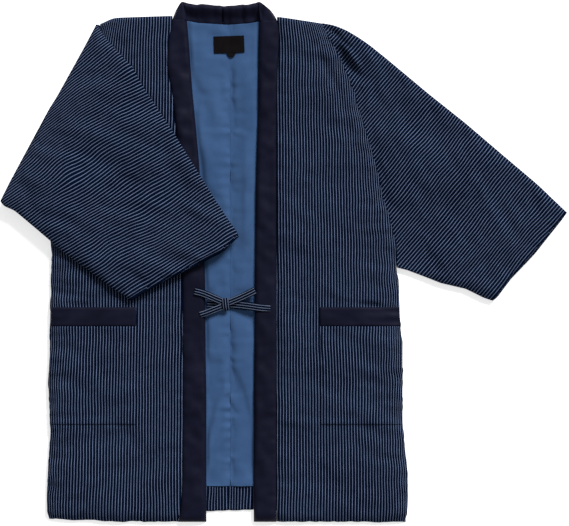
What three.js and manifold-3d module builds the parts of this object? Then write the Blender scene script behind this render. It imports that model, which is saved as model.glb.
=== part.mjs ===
// A padded jacket laid flat with its front open, its right sleeve folded over the front and its left sleeve out.
// Millimetres. x runs across from the centre line, up runs from the front hem to the collar, z is height off
// the table. The right half of the wearer lies at negative x.
import * as THREE from 'three';
import Module from 'manifold-3d';

const wasm = await Module();
wasm.setup();

// Layers that lie on each other, from the table up
const GAP = 0.3;
const TRIM = GAP + 0.15; // across, where a seam slants
const PADDED_WALL = 8;
const BACK_WALL = 6.8;
const LINING_WALL = 1.2;
const LINING_FLOOR = BACK_WALL + GAP;
const LINING_TOP = LINING_FLOOR + LINING_WALL;
const FRONT_FLOOR = LINING_TOP + GAP;
const FRONT_TOP = FRONT_FLOOR + PADDED_WALL;
const BAND_WALL = 9.2;
const BAND_TOP = FRONT_FLOOR + BAND_WALL;
const PATCH_WALL = 2;
const PATCH_BAND_WALL = 2.8;

// Lengths of the body
const SHOULDER_FOLD = 8.5; // how far the shoulder's round reaches past the flat layers
const BACK_HEM = 21;
const TURN_UP_TOP = 61;
const NECK_SEAM = 846;
const DROOP_FROM = 17; // below this the fronts sink from the back's hem to the table
const DROOP_TO = 2;
const SEAM_ROUND = 22; // how far from a seam the padding reaches its full height
const HEM_ROUND = 14;
const SIDE_SHARE = 0.42; // share of the wall's height left at a side seam
const BAND_SEAM_SHARE = 0.6;
const HEM_SHARE = 0.45;
const EDGE_LIFT = 1.5; // how far an outer edge curls off the table

// Pockets, by their heights above the front hem
const POCKET_BOTTOM = 167;
const POCKET_BAND_BOTTOM = 334;
const POCKET_BAND_TOP = 366;
const POCKET_SHARE = 0.65; // of the front's width, from the side seam

// Shares of a panel's width at which its columns stand, from the side seam to the band
const COLUMNS = [0, 0.02, 0.06, 0.13, 0.26, 0.45, 0.62, POCKET_SHARE, 0.8, 0.9, 0.96, 1];

// Each half has its sections from the hem up: how far the side seam, the band's seam and the band's open edge
// stand out from the centre line. ends says how far hem and shoulder stray from a straight line.
const RIGHT = {
  sign: -1,
  shoulder: 862,
  liningSeam: -4,
  neckSeam: 8.5,
  sections: [
    { up: 0, side: 306, seam: 86, lip: 37 },
    { up: 40, side: 309, seam: 79, lip: 37 },
    { up: 101, side: 306, seam: 77, lip: 37 },
    { up: POCKET_BOTTOM, side: 303, seam: 77, lip: 37 },
    { up: 225, side: 306, seam: 77, lip: 37 },
    { up: 268, side: 304, seam: 77, lip: 38 },
    { up: POCKET_BAND_BOTTOM, side: 303, seam: 77, lip: 38 },
    { up: POCKET_BAND_TOP, side: 303, seam: 77, lip: 39 },
    { up: 377, side: 302, seam: 77, lip: 39 },
    { up: 385, side: 300, seam: 77, lip: 39 },
    { up: 393, side: 302, seam: 77, lip: 39 },
    { up: 412, side: 303, seam: 77, lip: 39 },
    { up: 448, side: 299, seam: 78, lip: 41 },
    { up: 480, side: 303, seam: 79, lip: 43 },
    { up: 545, side: 303, seam: 81, lip: 46 },
    { up: 608, side: 303, seam: 83, lip: 49 },
    { up: 684, side: 296, seam: 90, lip: 56 },
    { up: 735, side: 272, seam: 95, lip: 61 },
    { up: 776, side: 250, seam: 104, lip: 64 },
    { up: 820, side: 229, seam: 101, lip: 67 },
    { up: NECK_SEAM, side: 216, seam: 96, lip: 69.5 },
    { up: 853.5, side: 213, seam: 95, lip: 70 },
  ],
  ends: [
    { out: 100, rise: 0, drop: 0 },
    { out: 187, rise: 1, drop: 3 },
    { out: 197, rise: 1, drop: 4.4 },
    { out: 218, rise: 2, drop: 14 },
    { out: 306, rise: 5, drop: 14 },
  ],
  neckline: [
    { up: NECK_SEAM, out: GAP / 2 },
    { up: 849, out: 50 },
    { up: 852, out: 69 },
    { up: 853.5, out: 95 + GAP },
  ],
  neck: [
    { lowOut: 95, lowUp: 854.3, highOut: 79.5, highUp: 885.4, bow: 1.5, top: 11 },
    { lowOut: 91, lowUp: 854.3, highOut: 79, highUp: 885.6, bow: 1.2, top: 16.2 },
    { lowOut: 78, lowUp: 854.3, highOut: 77.8, highUp: 885.6, bow: 0, top: 17.2 },
    { lowOut: 71.5, lowUp: 854.1, highOut: 76.8, highUp: 885.6, bow: 0, top: 16.4 },
    { lowOut: 69.8, lowUp: 853.2, highOut: 75.3, highUp: 885.3, bow: 0, top: 9.4 },
    { lowOut: 50, lowUp: 849.5, highOut: 55, highUp: 882.6, bow: 0, top: 10.2 },
    { lowOut: 25, lowUp: 848, highOut: 27, highUp: 880.4, bow: 0, top: 10.2 },
    { lowOut: 11, lowUp: 847.2, highOut: 11, highUp: 879.4, bow: 0, top: 9.6 },
    { lowOut: 8.5 + GAP / 2, lowUp: 847, highOut: 8.5 + GAP / 2, highUp: 879.2, bow: 0, top: 8.6 },
  ],
  troughs: [{ fromX: -303, fromUp: 385, toX: -84, toUp: 385, deep: 2.4, wide: 8 }],
};

const LEFT = {
  sign: 1,
  shoulder: 860,
  liningSeam: 4,
  neckSeam: -8.5,
  sections: [
    { up: 0, side: 303, seam: 82, lip: 43.5 },
    { up: 25, side: 306, seam: 82, lip: 43.5 },
    { up: 77, side: 306, seam: 82, lip: 43.5 },
    { up: 118, side: 302, seam: 82, lip: 43.5 },
    { up: POCKET_BOTTOM, side: 297, seam: 82, lip: 44 },
    { up: 225, side: 297, seam: 82, lip: 44 },
    { up: 302, side: 297, seam: 82, lip: 45 },
    { up: POCKET_BAND_BOTTOM, side: 293, seam: 82, lip: 45 },
    { up: POCKET_BAND_TOP, side: 292, seam: 82, lip: 45 },
    { up: 413, side: 290, seam: 82, lip: 45.5 },
    { up: 428, side: 286, seam: 82, lip: 45.5 },
    { up: 463, side: 287, seam: 82, lip: 46 },
    { up: 509, side: 278, seam: 82, lip: 46.5 },
    { up: 553, side: 264, seam: 82, lip: 47 },
    { up: 601, side: 253, seam: 82, lip: 48 },
    { up: 649, side: 241, seam: 82, lip: 49.5 },
    { up: 701, side: 224, seam: 82, lip: 51 },
    { up: 748, side: 211, seam: 83, lip: 51 },
    { up: 792, side: 194, seam: 85, lip: 51.5 },
    { up: 822, side: 178, seam: 87, lip: 52 },
    { up: NECK_SEAM, side: 165, seam: 86, lip: 52.5 },
    { up: 851.5, side: 161.5, seam: 83, lip: 53 },
  ],
  ends: [
    { out: 88, rise: 0, drop: 0 },
    { out: 122, rise: 0, drop: 5 },
    { out: 161.5, rise: 0, drop: 11 },
    { out: 306, rise: 0, drop: 11 },
  ],
  neckline: [
    { up: NECK_SEAM, out: GAP / 2 },
    { up: 848.3, out: 35 },
    { up: 851, out: 53 },
    { up: 851.5, out: 83 + GAP },
  ],
  neck: [
    { lowOut: 82.8, lowUp: 852.4, highOut: 54, highUp: 885.2, bow: 5, top: 11 },
    { lowOut: 79, lowUp: 852.4, highOut: 53.5, highUp: 885.6, bow: 4, top: 16.2 },
    { lowOut: 62, lowUp: 852.4, highOut: 52.5, highUp: 886, bow: 1, top: 17.2 },
    { lowOut: 55, lowUp: 852.4, highOut: 51.5, highUp: 886, bow: 0, top: 16.4 },
    { lowOut: 53.3, lowUp: 852.2, highOut: 49.8, highUp: 885.8, bow: 0, top: 9.4 },
    { lowOut: 35, lowUp: 849, highOut: 35, highUp: 883, bow: 0, top: 10.2 },
    { lowOut: 12, lowUp: 847.4, highOut: 12, highUp: 880.6, bow: 0, top: 10.2 },
    { lowOut: -6, lowUp: 847, highOut: -6, highUp: 879.4, bow: 0, top: 9.6 },
    { lowOut: -8.5 + GAP / 2, lowUp: 847, highOut: -8.5 + GAP / 2, highUp: 879.2, bow: 0, top: 8.6 },
  ],
  troughs: [
    { fromX: 146, fromUp: 848, toX: 199, toUp: 727, deep: 2.6, wide: 13 },
    { fromX: 199, fromUp: 727, toX: 262, toUp: 500, deep: 1.6, wide: 12 },
  ],
};

// Outlines of the sleeves. Each runs from the body to the cuff, or from the top fold to the underarm seam.
const SLEEVE_WALL = 8.1; // each of the two layers
const CUFF_ROUND = 12;
const CUFF_SHARE = 0.62;
const SLIT = 1.4; // height of the space between a sleeve's two layers
const CUFF_SLIT = 3.4;
const FOLDED_FLOOR = FRONT_TOP + GAP;

const FOLDED_SLEEVE = {
  floor: FOLDED_FLOOR,
  topFold: [
    { x: -223, up: 846 },
    { x: -209, up: 825 },
    { x: -161.5, up: 773 },
    { x: -143, up: 739 },
    { x: -95, up: 667 },
    { x: -21, up: 548 },
    { x: 6, up: 507 },
    { x: 15, up: 495.5 },
    { x: 18.5, up: 486 },
  ],
  underarm: [
    { x: -386, up: 546 },
    { x: -380, up: 538 },
    { x: -362, up: 530 },
    { x: -345, up: 516 },
    { x: -302.6, up: 480 },
    { x: -240.6, up: 432.6 },
    { x: -202, up: 402 },
    { x: -176, up: 386 },
    { x: -164, up: 377 },
  ],
  bodyEnd: [
    { x: -223, up: 846 },
    { x: -272, up: 752 },
    { x: -304, up: 701 },
    { x: -368, up: 582 },
    { x: -386, up: 546 },
  ],
  cuff: [
    { x: 18.5, up: 486 },
    { x: -9, up: 459 },
    { x: -32, up: 448 },
    { x: -92.5, up: 417 },
    { x: -153, up: 383 },
    { x: -164, up: 377 },
  ],
  bodyShare: 0,
  slitFrom: 0.86,
  troughs: [
    { fromX: -330, fromUp: 690, toX: -190, toUp: 640, deep: 2, wide: 16 },
    { fromX: -205, fromUp: 800, toX: -255, toUp: 770, deep: 2, wide: 14 },
  ],
};

const OUT_SLEEVE = {
  floor: 0,
  topFold: [
    { x: 161, up: 851 },
    { x: 180, up: 847 },
    { x: 200.6, up: 838 },
    { x: 240, up: 813 },
    { x: 291.5, up: 771 },
    { x: 343, up: 728 },
    { x: 404.6, up: 679 },
    { x: 528, up: 574 },
    { x: 577, up: 527 },
  ],
  underarm: [
    { x: 286, up: 433.5 },
    { x: 306, up: 428.6 },
    { x: 362, up: 407 },
    { x: 404.6, up: 397 },
    { x: 435, up: 382 },
    { x: 450, up: 377 },
  ],
  cuff: [
    { x: 577, up: 527 },
    { x: 568, up: 515 },
    { x: 544, up: 485 },
    { x: 522, up: 457 },
    { x: 481, up: 414 },
    { x: 458, up: 383 },
    { x: 450, up: 377 },
  ],
  bodyShare: 0.45,
  slitFrom: 0,
  troughs: [
    { fromX: 193, fromUp: 815, toX: 226, toUp: 752, deep: 4.5, wide: 11 },
    { fromX: 224, fromUp: 775, toX: 256, toUp: 792, deep: 2, wide: 12 },
  ],
};
const SLEEVE_ALONG = [0, 0.03, 0.07, 0.13, 0.22, 0.34, 0.47, 0.6, 0.73, 0.84, 0.92, 0.96, 0.985, 1];
const SLEEVE_ACROSS = [0, 0.015, 0.04, 0.09, 0.18, 0.31, 0.46, 0.61, 0.75, 0.86, 0.93, 0.97, 0.99, 1];
const SLIT_INSET = 0.04;

// Ties and knot: places along each strand, with its width and thickness there
const TIE_RIGHT = [
  { x: -35, up: 371, z: 12.1, width: 12, thick: 2.4 },
  { x: -20, up: 371, z: 12.1, width: 12, thick: 2.4 },
  { x: 10, up: 371, z: 12.1, width: 14, thick: 2.4 },
  { x: 22, up: 370, z: 14, width: 16, thick: 2.4 },
  { x: 34, up: 368.5, z: 17.2, width: 15, thick: 2.4 },
  { x: 44, up: 367, z: 19.2, width: 14, thick: 2.4 },
  { x: 58, up: 365, z: 19.4, width: 11.5, thick: 2.4 },
  { x: 72, up: 364, z: 19.3, width: 9, thick: 2.2 },
];
const TIE_LEFT_STRANDS = [
  [
    { x: 45.5, up: 394, z: 19.4, width: 13, thick: 2.4 },
    { x: 36, up: 389.5, z: 18.6, width: 13, thick: 2.4 },
    { x: 20, up: 383, z: 17.4, width: 12, thick: 2.4 },
    { x: -2, up: 374, z: 17.4, width: 10, thick: 2.4 },
  ],
  [
    { x: -57, up: 393, z: 19.4, width: 13, thick: 2.4 },
    { x: -46, up: 391, z: 19.4, width: 13, thick: 2.4 },
    { x: -34, up: 386.5, z: 19, width: 12.5, thick: 2.4 },
    { x: -20, up: 380, z: 17.8, width: 12, thick: 2.4 },
    { x: -6, up: 375.5, z: 17.6, width: 10, thick: 2.4 },
  ],
  [
    { x: -48, up: 353, z: 19.4, width: 10, thick: 2.4 },
    { x: -37, up: 356.5, z: 19.2, width: 10.5, thick: 2.4 },
    { x: -22, up: 362.5, z: 17.6, width: 11, thick: 2.4 },
    { x: -6, up: 369, z: 17.4, width: 9, thick: 2.4 },
  ],
  [
    { x: -3, up: 361, z: 18.2, width: 8, thick: 4 },
    { x: -3.5, up: 364, z: 18.4, width: 14, thick: 7.4 },
    { x: -4, up: 371, z: 18.6, width: 16, thick: 9 },
    { x: -4, up: 378, z: 18.4, width: 14, thick: 7.4 },
    { x: -4, up: 381.5, z: 18.2, width: 8, thick: 4 },
  ],
];

// Label
const LABEL = { x: 1.5, up: 813, width: 52, height: 29, thick: 0.6, turn: 0.035 };
const TAB = { x: 4.5, radius: 7.5, sides: 12 };
const LINING_BULGE = 1.6;

/** Reads a column of a table whose rows rise by a key, straight between rows. */
function read(rows, at, column, key) {
  if (at <= rows[0][key]) {
    return rows[0][column];
  }
  for (let i = 1; i < rows.length; i += 1) {
    const [low, high] = [rows[i - 1], rows[i]];
    if (at <= high[key]) {
      return THREE.MathUtils.mapLinear(at, low[key], high[key], low[column], high[column]);
    }
  }
  return rows[rows.length - 1][column];
}

/** Share of the full height at a distance from an edge: a quarter circle that starts at the least share. */
function swell(distance, reach, least) {
  const inside = THREE.MathUtils.clamp(distance / reach, 0, 1);
  return least + (1 - least) * Math.sqrt(1 - (1 - inside) ** 2);
}

/** How far a table of troughs lowers the cloth at a place. */
function troughDepth(troughs, x, up) {
  const place = new THREE.Vector3(x, up, 0);
  const nearest = new THREE.Vector3();
  return troughs.reduce((deep, trough) => {
    const line = new THREE.Line3(
      new THREE.Vector3(trough.fromX, trough.fromUp, 0),
      new THREE.Vector3(trough.toX, trough.toUp, 0),
    );
    const away = line.closestPointToPoint(place, true, nearest).distanceTo(place);
    return deep + trough.deep * Math.exp(-((away / trough.wide) ** 2));
  }, 0);
}

/** A closed body between an upper and a lower grid of points, with walls all round. */
function closedBody(upper, lower) {
  const columns = upper[0].length;
  const lastRow = upper.length - 1;
  const lastColumn = columns - 1;
  const lowerFrom = upper.length * columns;
  const faces = [];
  const quad = (a, b, c, d) => faces.push(a, b, c, a, c, d);
  for (let i = 0; i < lastRow; i += 1) {
    for (let j = 0; j < lastColumn; j += 1) {
      const a = i * columns + j;
      const d = a + columns;
      quad(a, a + 1, d + 1, d);
      quad(lowerFrom + a, lowerFrom + d, lowerFrom + d + 1, lowerFrom + a + 1);
    }
    const start = i * columns;
    const end = start + lastColumn;
    quad(start, start + columns, lowerFrom + start + columns, lowerFrom + start);
    quad(end, lowerFrom + end, lowerFrom + end + columns, end + columns);
  }
  for (let j = 0; j < lastColumn; j += 1) {
    const far = lastRow * columns + j;
    quad(j, lowerFrom + j, lowerFrom + j + 1, j + 1);
    quad(far, far + 1, lowerFrom + far + 1, lowerFrom + far);
  }
  return outward([...upper.flat(), ...lower.flat()], faces);
}

/** A solid from points and triangles, turned so that its faces look out. */
function outward(points, faces) {
  const volume = faces.reduce((sum, _, i) => {
    if (i % 3 > 0) {
      return sum;
    }
    const [a, b, c] = [points[faces[i]], points[faces[i + 1]], points[faces[i + 2]]];
    return sum + a.dot(new THREE.Vector3().crossVectors(b, c));
  }, 0);
  const triangles = Uint32Array.from(volume > 0 ? faces : faces.toReversed());
  const coordinates = Float32Array.from(points.flatMap((point) => point.toArray()));
  return new wasm.Manifold(new wasm.Mesh({ numProp: 3, vertProperties: coordinates, triVerts: triangles }));
}

/** An upright block over an outline of places, between two heights. */
function block(outline, low, high) {
  const shape = outline.map((place) => [place.x, place.up]);
  return new wasm.CrossSection([shape], 'NonZero').extrude(high - low).translate([0, 0, low]);
}

/** A place on a half's flat layers, at a nominal height and a share of the width from side to inner edge. */
function bodyPlace(half, up, innerEdge, share) {
  const out = THREE.MathUtils.lerp(read(half.sections, up, 'side', 'up'), innerEdge, share);
  const foldStart = half.shoulder - SHOULDER_FOLD;
  const nearShoulder = THREE.MathUtils.clamp((up / foldStart - 0.7) / 0.3, 0, 1);
  const nearHem = THREE.MathUtils.clamp(1 - up / 80, 0, 1);
  const drop = read(half.ends, out, 'drop', 'out') * nearShoulder;
  const rise = read(half.ends, out, 'rise', 'out') * nearHem;
  return { x: half.sign * out, up: up - drop + rise, out };
}

/** Height of the fronts' and bands' underside above the table. */
function frontFloor(up) {
  return FRONT_FLOOR * THREE.MathUtils.smoothstep(up, DROOP_TO, DROOP_FROM);
}

/** A point on the upper face of a half's front. */
function frontPoint(half, up, share) {
  const seam = read(half.sections, up, 'seam', 'up') + GAP;
  const side = read(half.sections, up, 'side', 'up');
  const place = bodyPlace(half, up, seam, share);
  const height = PADDED_WALL
    * swell(side - place.out, SEAM_ROUND, SIDE_SHARE)
    * swell(place.out - seam, SEAM_ROUND, BAND_SEAM_SHARE)
    * swell(up, HEM_ROUND, HEM_SHARE)
    - troughDepth(half.troughs, place.x, place.up);
  return new THREE.Vector3(place.x, place.up, frontFloor(up) + height);
}

/** One body piece: up the back from its hem, round the shoulder and down the front. */
function bodyPanel(half) {
  const foldStart = half.shoulder - SHOULDER_FOLD;
  const ups = half.sections.map((section) => section.up);
  const turnUpRows = [
    { up: BACK_HEM, top: BACK_WALL, bottom: EDGE_LIFT },
    { up: BACK_HEM + 5, top: LINING_TOP, bottom: 0 },
    { up: TURN_UP_TOP - GAP, top: LINING_TOP, bottom: 0 },
    { up: TURN_UP_TOP, top: BACK_WALL, bottom: 0 },
  ];
  const backRows = [...ups.filter((up) => up > TURN_UP_TOP && up < foldStart), ...half.neckline.map((row) => row.up)];
  const flatRows = [...new Set(backRows)].sort((a, b) => a - b).map((up) => ({ up, top: BACK_WALL, bottom: 0 }));
  const outer = [];
  const inner = [];
  for (const row of [...turnUpRows, ...flatRows]) {
    const places = COLUMNS.map((share) => bodyPlace(half, row.up, read(half.neckline, row.up, 'out', 'up'), share));
    const lift = (j) => (j === 0 ? EDGE_LIFT : row.bottom);
    outer.push(places.map((place, j) => new THREE.Vector3(place.x, place.up, lift(j))));
    inner.push(places.map((place) => new THREE.Vector3(place.x, place.up, row.top)));
  }
  for (const turn of [-60, -30, 0, 30, 60].map(THREE.MathUtils.degToRad)) {
    const raised = (1 + Math.sin(turn)) / 2;
    const tops = COLUMNS.map((share) => frontPoint(half, foldStart, share));
    const lift = (j) => (j === 0 ? EDGE_LIFT : 0);
    const slitRound = (FRONT_FLOOR - BACK_WALL) / 2;
    outer.push(tops.map((top, j) => new THREE.Vector3(
      top.x, top.y + SHOULDER_FOLD * Math.cos(turn), THREE.MathUtils.lerp(lift(j), top.z, raised))));
    inner.push(tops.map((top) => new THREE.Vector3(
      top.x, top.y + slitRound * Math.cos(turn), THREE.MathUtils.lerp(BACK_WALL, FRONT_FLOOR, raised))));
  }
  const frontRows = [...new Set([...ups, 3, 8, DROOP_FROM])].sort((a, b) => b - a);
  for (const up of frontRows) {
    const tops = COLUMNS.map((share) => frontPoint(half, up, share));
    const lift = up === 0 ? EDGE_LIFT : 0;
    outer.push(tops);
    inner.push(tops.map((top) => new THREE.Vector3(top.x, top.y, frontFloor(up) + lift)));
  }
  return closedBody(outer, inner);
}

/** Half of the back's lining: flat under the front, with a soft bulge where it shows beside its seam. */
function lining(half) {
  const rows = [TURN_UP_TOP + GAP, ...half.sections.map((row) => row.up)]
    .filter((up) => up > TURN_UP_TOP && up <= NECK_SEAM);
  const upper = [];
  const lower = [];
  for (const up of rows) {
    const side = read(half.sections, up, 'side', 'up');
    const lip = read(half.sections, up, 'lip', 'up');
    const columns = [
      { out: side - 6, bulge: 0 },
      { out: (side + lip) / 2, bulge: 0 },
      { out: lip + 1, bulge: 0 },
      { out: lip - 5, bulge: 0.45 },
      { out: lip * 0.7, bulge: 1 },
      { out: lip * 0.4, bulge: 1 },
      { out: half.liningSeam + 5, bulge: 0.4 },
      { out: half.liningSeam + GAP / 2, bulge: -0.25 },
    ];
    const places = columns.map((column) => ({
      ...bodyPlace(half, up, column.out, 1),
      top: LINING_TOP + LINING_BULGE * column.bulge,
    }));
    upper.push(places.map((place) => new THREE.Vector3(place.x, place.up, place.top)));
    lower.push(places.map((place) => new THREE.Vector3(place.x, place.up, LINING_FLOOR)));
  }
  return closedBody(upper, lower);
}

/** A half's collar strip: the band down the front, folded over at the shoulder into half of the neck. */
function collar(half) {
  const shares = [0, 0.08, 0.24, 0.5, 0.76, 0.92, 1];
  const ups = [...new Set([...half.sections.map((row) => row.up), 3, 8, DROOP_FROM])].sort((a, b) => a - b);
  const upper = [];
  const lower = [];
  for (const up of ups) {
    const seam = read(half.sections, up, 'seam', 'up');
    const lip = read(half.sections, up, 'lip', 'up');
    const floor = frontFloor(up) + (up === 0 ? EDGE_LIFT : 0);
    const outs = shares.map((share) => THREE.MathUtils.lerp(lip, seam, share));
    const heights = outs.map((out) => BAND_WALL
      * swell(out - lip, 9, 0.35) * swell(seam - out, 10, BAND_SEAM_SHARE) * swell(up, HEM_ROUND, HEM_SHARE));
    upper.push(outs.map((out, j) => new THREE.Vector3(half.sign * out, up, frontFloor(up) + heights[j])));
    lower.push(outs.map((out, j) => new THREE.Vector3(half.sign * out, up, floor + (j === 0 ? EDGE_LIFT : 0))));
  }
  const past = 1.5;
  upper.push(upper.at(-1).map((point) => point.clone().setY(point.y + past)));
  lower.push(lower.at(-1).map((point) => point.clone().setY(point.y + past)));
  const neckShares = [0, 0.12, 0.35, 0.65, 0.88, 1];
  const neckTop = [];
  const neckFloor = [];
  for (const row of half.neck) {
    const points = neckShares.map((share) => ({
      x: half.sign * (THREE.MathUtils.lerp(row.lowOut, row.highOut, share) + row.bow * 4 * share * (1 - share)),
      up: THREE.MathUtils.lerp(row.lowUp, row.highUp, share),
      round: swell(Math.min(share, 1 - share), 0.3, 0.75),
    }));
    neckTop.push(points.map((point) => new THREE.Vector3(point.x, point.up, row.top * point.round)));
    neckFloor.push(points.map((point, i) => new THREE.Vector3(
      point.x, point.up, i === neckShares.length - 1 ? EDGE_LIFT : 0)));
  }
  return closedBody(upper, lower).add(closedBody(neckTop, neckFloor));
}

/** A patch on the front between two heights: the front's own points, moved out. */
function patch(half, bottom, top, wall) {
  const ups = [bottom, ...half.sections.map((row) => row.up).filter((up) => up > bottom && up < top), top];
  const shares = COLUMNS.filter((share) => share <= POCKET_SHARE);
  const raised = (extra) => ups.map((up) => shares.map((share) => {
    const point = frontPoint(half, up, share);
    return point.setZ(point.z + extra);
  }));
  return closedBody(raised(GAP + wall), raised(GAP));
}

/** Places at even shares of the length of a line of places. */
function placeOnLine(line, share) {
  const lengths = [0];
  for (let i = 1; i < line.length; i += 1) {
    lengths.push(lengths[i - 1] + Math.hypot(line[i].x - line[i - 1].x, line[i].up - line[i - 1].up));
  }
  const rows = line.map((place, i) => ({ ...place, run: lengths[i] }));
  const run = share * lengths.at(-1);
  return new THREE.Vector2(read(rows, run, 'x', 'run'), read(rows, run, 'up', 'run'));
}

/** A place in a sleeve's outline: along from body to cuff, across from top fold to underarm. */
function sleevePlace(sleeve, along, across) {
  const fold = placeOnLine(sleeve.topFold, along);
  const underarm = placeOnLine(sleeve.underarm, along);
  const bodyEnd = placeOnLine(sleeve.bodyEnd, across);
  const cuff = placeOnLine(sleeve.cuff, across);
  const bodyChord = placeOnLine(sleeve.topFold, 0).lerp(placeOnLine(sleeve.underarm, 0), across);
  const cuffChord = placeOnLine(sleeve.topFold, 1).lerp(placeOnLine(sleeve.underarm, 1), across);
  return fold.lerp(underarm, across).add(bodyEnd.lerp(cuff, along)).sub(bodyChord.lerp(cuffChord, along));
}

/** A sleeve as a flattened tube: a soft body of two layers with the slit between them open at the cuff. */
function sleeveBody(sleeve) {
  const middle = sleeve.floor + SLEEVE_WALL;
  const edge = 1;
  const upper = [];
  const lower = [];
  for (const along of SLEEVE_ALONG) {
    const row = SLEEVE_ACROSS.map((across) => {
      const place = sleevePlace(sleeve, along, across);
      const fold = sleevePlace(sleeve, along, 0);
      const underarm = sleevePlace(sleeve, along, 1);
      const sideways = Math.min(place.distanceTo(fold), place.distanceTo(underarm));
      const toCuff = place.distanceTo(sleevePlace(sleeve, 1, across));
      const toBody = place.distanceTo(sleevePlace(sleeve, 0, across));
      const ends = swell(toCuff, CUFF_ROUND, CUFF_SHARE) * swell(toBody, SEAM_ROUND, sleeve.bodyShare);
      const top = swell(sideways, SEAM_ROUND, 0) * ends;
      const trough = troughDepth(sleeve.troughs, place.x, place.y);
      const bottom = swell(sideways, 9, 0);
      return {
        place,
        top: middle + edge + (SLEEVE_WALL - edge) * top - trough * swell(sideways, SEAM_ROUND, 0),
        bottom: middle - edge - (SLEEVE_WALL - edge) * bottom,
      };
    });
    upper.push(row.map((point) => new THREE.Vector3(point.place.x, point.place.y, point.top)));
    lower.push(row.map((point) => new THREE.Vector3(point.place.x, point.place.y, point.bottom)));
  }
  return closedBody(upper, lower).subtract(sleeveSlit(sleeve, middle));
}

/** The thin space between a sleeve's layers, wider at the cuff. */
function sleeveSlit(sleeve, middle) {
  const reach = 8;
  const alongs = [...SLEEVE_ALONG.filter((along) => along >= sleeve.slitFrom)];
  const acrosses = [SLIT_INSET, 0.12, 0.3, 0.5, 0.7, 0.88, 1 - SLIT_INSET];
  const rows = alongs.map((along) => ({
    half: (along > 0.95 ? CUFF_SLIT : SLIT) / 2,
    places: acrosses.map((across) => sleevePlace(sleeve, along, across)),
  }));
  const beyond = (row, next) => ({
    half: row.half,
    places: row.places.map((place, j) => place.clone().sub(next.places[j]).setLength(reach).add(place)),
  });
  rows.push(beyond(rows.at(-1), rows.at(-2)));
  if (sleeve.slitFrom === 0) {
    rows.unshift(beyond(rows[0], rows[1]));
  }
  const grid = (side) => rows.map((row) => row.places.map((place) => new THREE.Vector3(
    place.x, place.y, middle + side * row.half)));
  return closedBody(grid(1), grid(-1));
}

/** The sleeve that is folded over the front, with the layers of its body end down to the table. */
function foldedSleeve() {
  const underarmSide = FOLDED_SLEEVE.underarm.filter((place) => place.x <= -302).toReversed();
  const outerLine = [...underarmSide, ...FOLDED_SLEEVE.bodyEnd.slice(0, -1).toReversed()];
  const corner = FOLDED_SLEEVE.bodyEnd.at(-1).up;
  const last = FOLDED_SLEEVE.bodyEnd[0].up - 2;
  const foldTop = FOLDED_FLOOR + SLEEVE_WALL;
  const underarmTop = FRONT_TOP - 2;
  const columns = [
    { share: 0, floor: 8 },
    { share: 0.04, floor: 2.5 },
    { share: 0.12, floor: 0 },
    { share: 0.4, floor: 0 },
    { share: 1, floor: 0 },
  ];
  const upper = [];
  const lower = [];
  for (const section of RIGHT.sections.filter((row) => row.up >= 480 && row.up <= NECK_SEAM)) {
    const inner = bodyPlace(RIGHT, section.up, section.side + TRIM, 1);
    const up = Math.min(inner.up, last);
    const outerX = Math.min(read(outerLine, up, 'x', 'up'), inner.x - 2);
    const edgeTop = up < corner ? underarmTop : foldTop;
    const across = (share) => THREE.MathUtils.lerp(outerX, inner.x, share);
    upper.push(columns.map(({ share }) => new THREE.Vector3(across(share), up, share > 0 ? foldTop : edgeTop)));
    lower.push(columns.map(({ share, floor }) => new THREE.Vector3(across(share), up, floor)));
  }
  const underLayers = closedBody(upper, lower);
  const seamLine = RIGHT.sections.filter((row) => row.up > 400).map((row) => ({ x: -row.seam - 1, up: row.up }));
  const overBand = block([...seamLine, { x: 60, up: 853 }, { x: 60, up: 412 }].reverse(), 0, BAND_TOP + GAP);
  return sleeveBody(FOLDED_SLEEVE).subtract(overBand).add(underLayers);
}

/** The sleeve that lies out, trimmed to the body's side seam. */
function outSleeve() {
  const armhole = LEFT.sections.filter((row) => row.up >= 428)
    .map((row) => bodyPlace(LEFT, row.up, row.side, 1));
  const sleeve = { ...OUT_SLEEVE, bodyEnd: armhole.filter((place) => place.up > 433).toReversed() };
  sleeve.bodyEnd[0] = OUT_SLEEVE.topFold[0];
  sleeve.bodyEnd[sleeve.bodyEnd.length - 1] = OUT_SLEEVE.underarm[0];
  const line = armhole.map((place) => ({ x: place.x + TRIM, up: place.up }));
  const body = block([{ x: 0, up: 400 }, { x: line[0].x, up: 400 }, ...line,
    { x: line.at(-1).x, up: 880 }, { x: 0, up: 880 }], -1, 2 * FRONT_TOP);
  return sleeveBody(sleeve).subtract(body);
}

/** A flat cord along a line of places, with round edges and its own width and thickness at each. */
function strand(line) {
  const last = line.length - 1;
  const ring = [[-1, 0], [-0.82, 0.8], [0, 1], [0.82, 0.8], [1, 0], [0.82, -0.8], [0, -1], [-0.82, -0.8]];
  const rings = line.map((place, i) => {
    const [before, after] = [line[Math.max(i - 1, 0)], line[Math.min(i + 1, last)]];
    const across = new THREE.Vector3(before.up - after.up, after.x - before.x, 0).normalize();
    return ring.map(([side, height]) => new THREE.Vector3(place.x, place.up, place.z)
      .addScaledVector(across, side * place.width / 2)
      .add(new THREE.Vector3(0, 0, height * place.thick / 2)));
  });
  const count = ring.length;
  const faces = [];
  for (let i = 0; i < last; i += 1) {
    for (let j = 0; j < count; j += 1) {
      const [a, b] = [i * count + j, i * count + (j + 1) % count];
      faces.push(a, b, b + count, a, b + count, a + count);
    }
  }
  for (let j = 1; j < count - 1; j += 1) {
    faces.push(0, j + 1, j, last * count, last * count + j, last * count + j + 1);
  }
  return outward(rings.flat(), faces);
}

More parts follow.
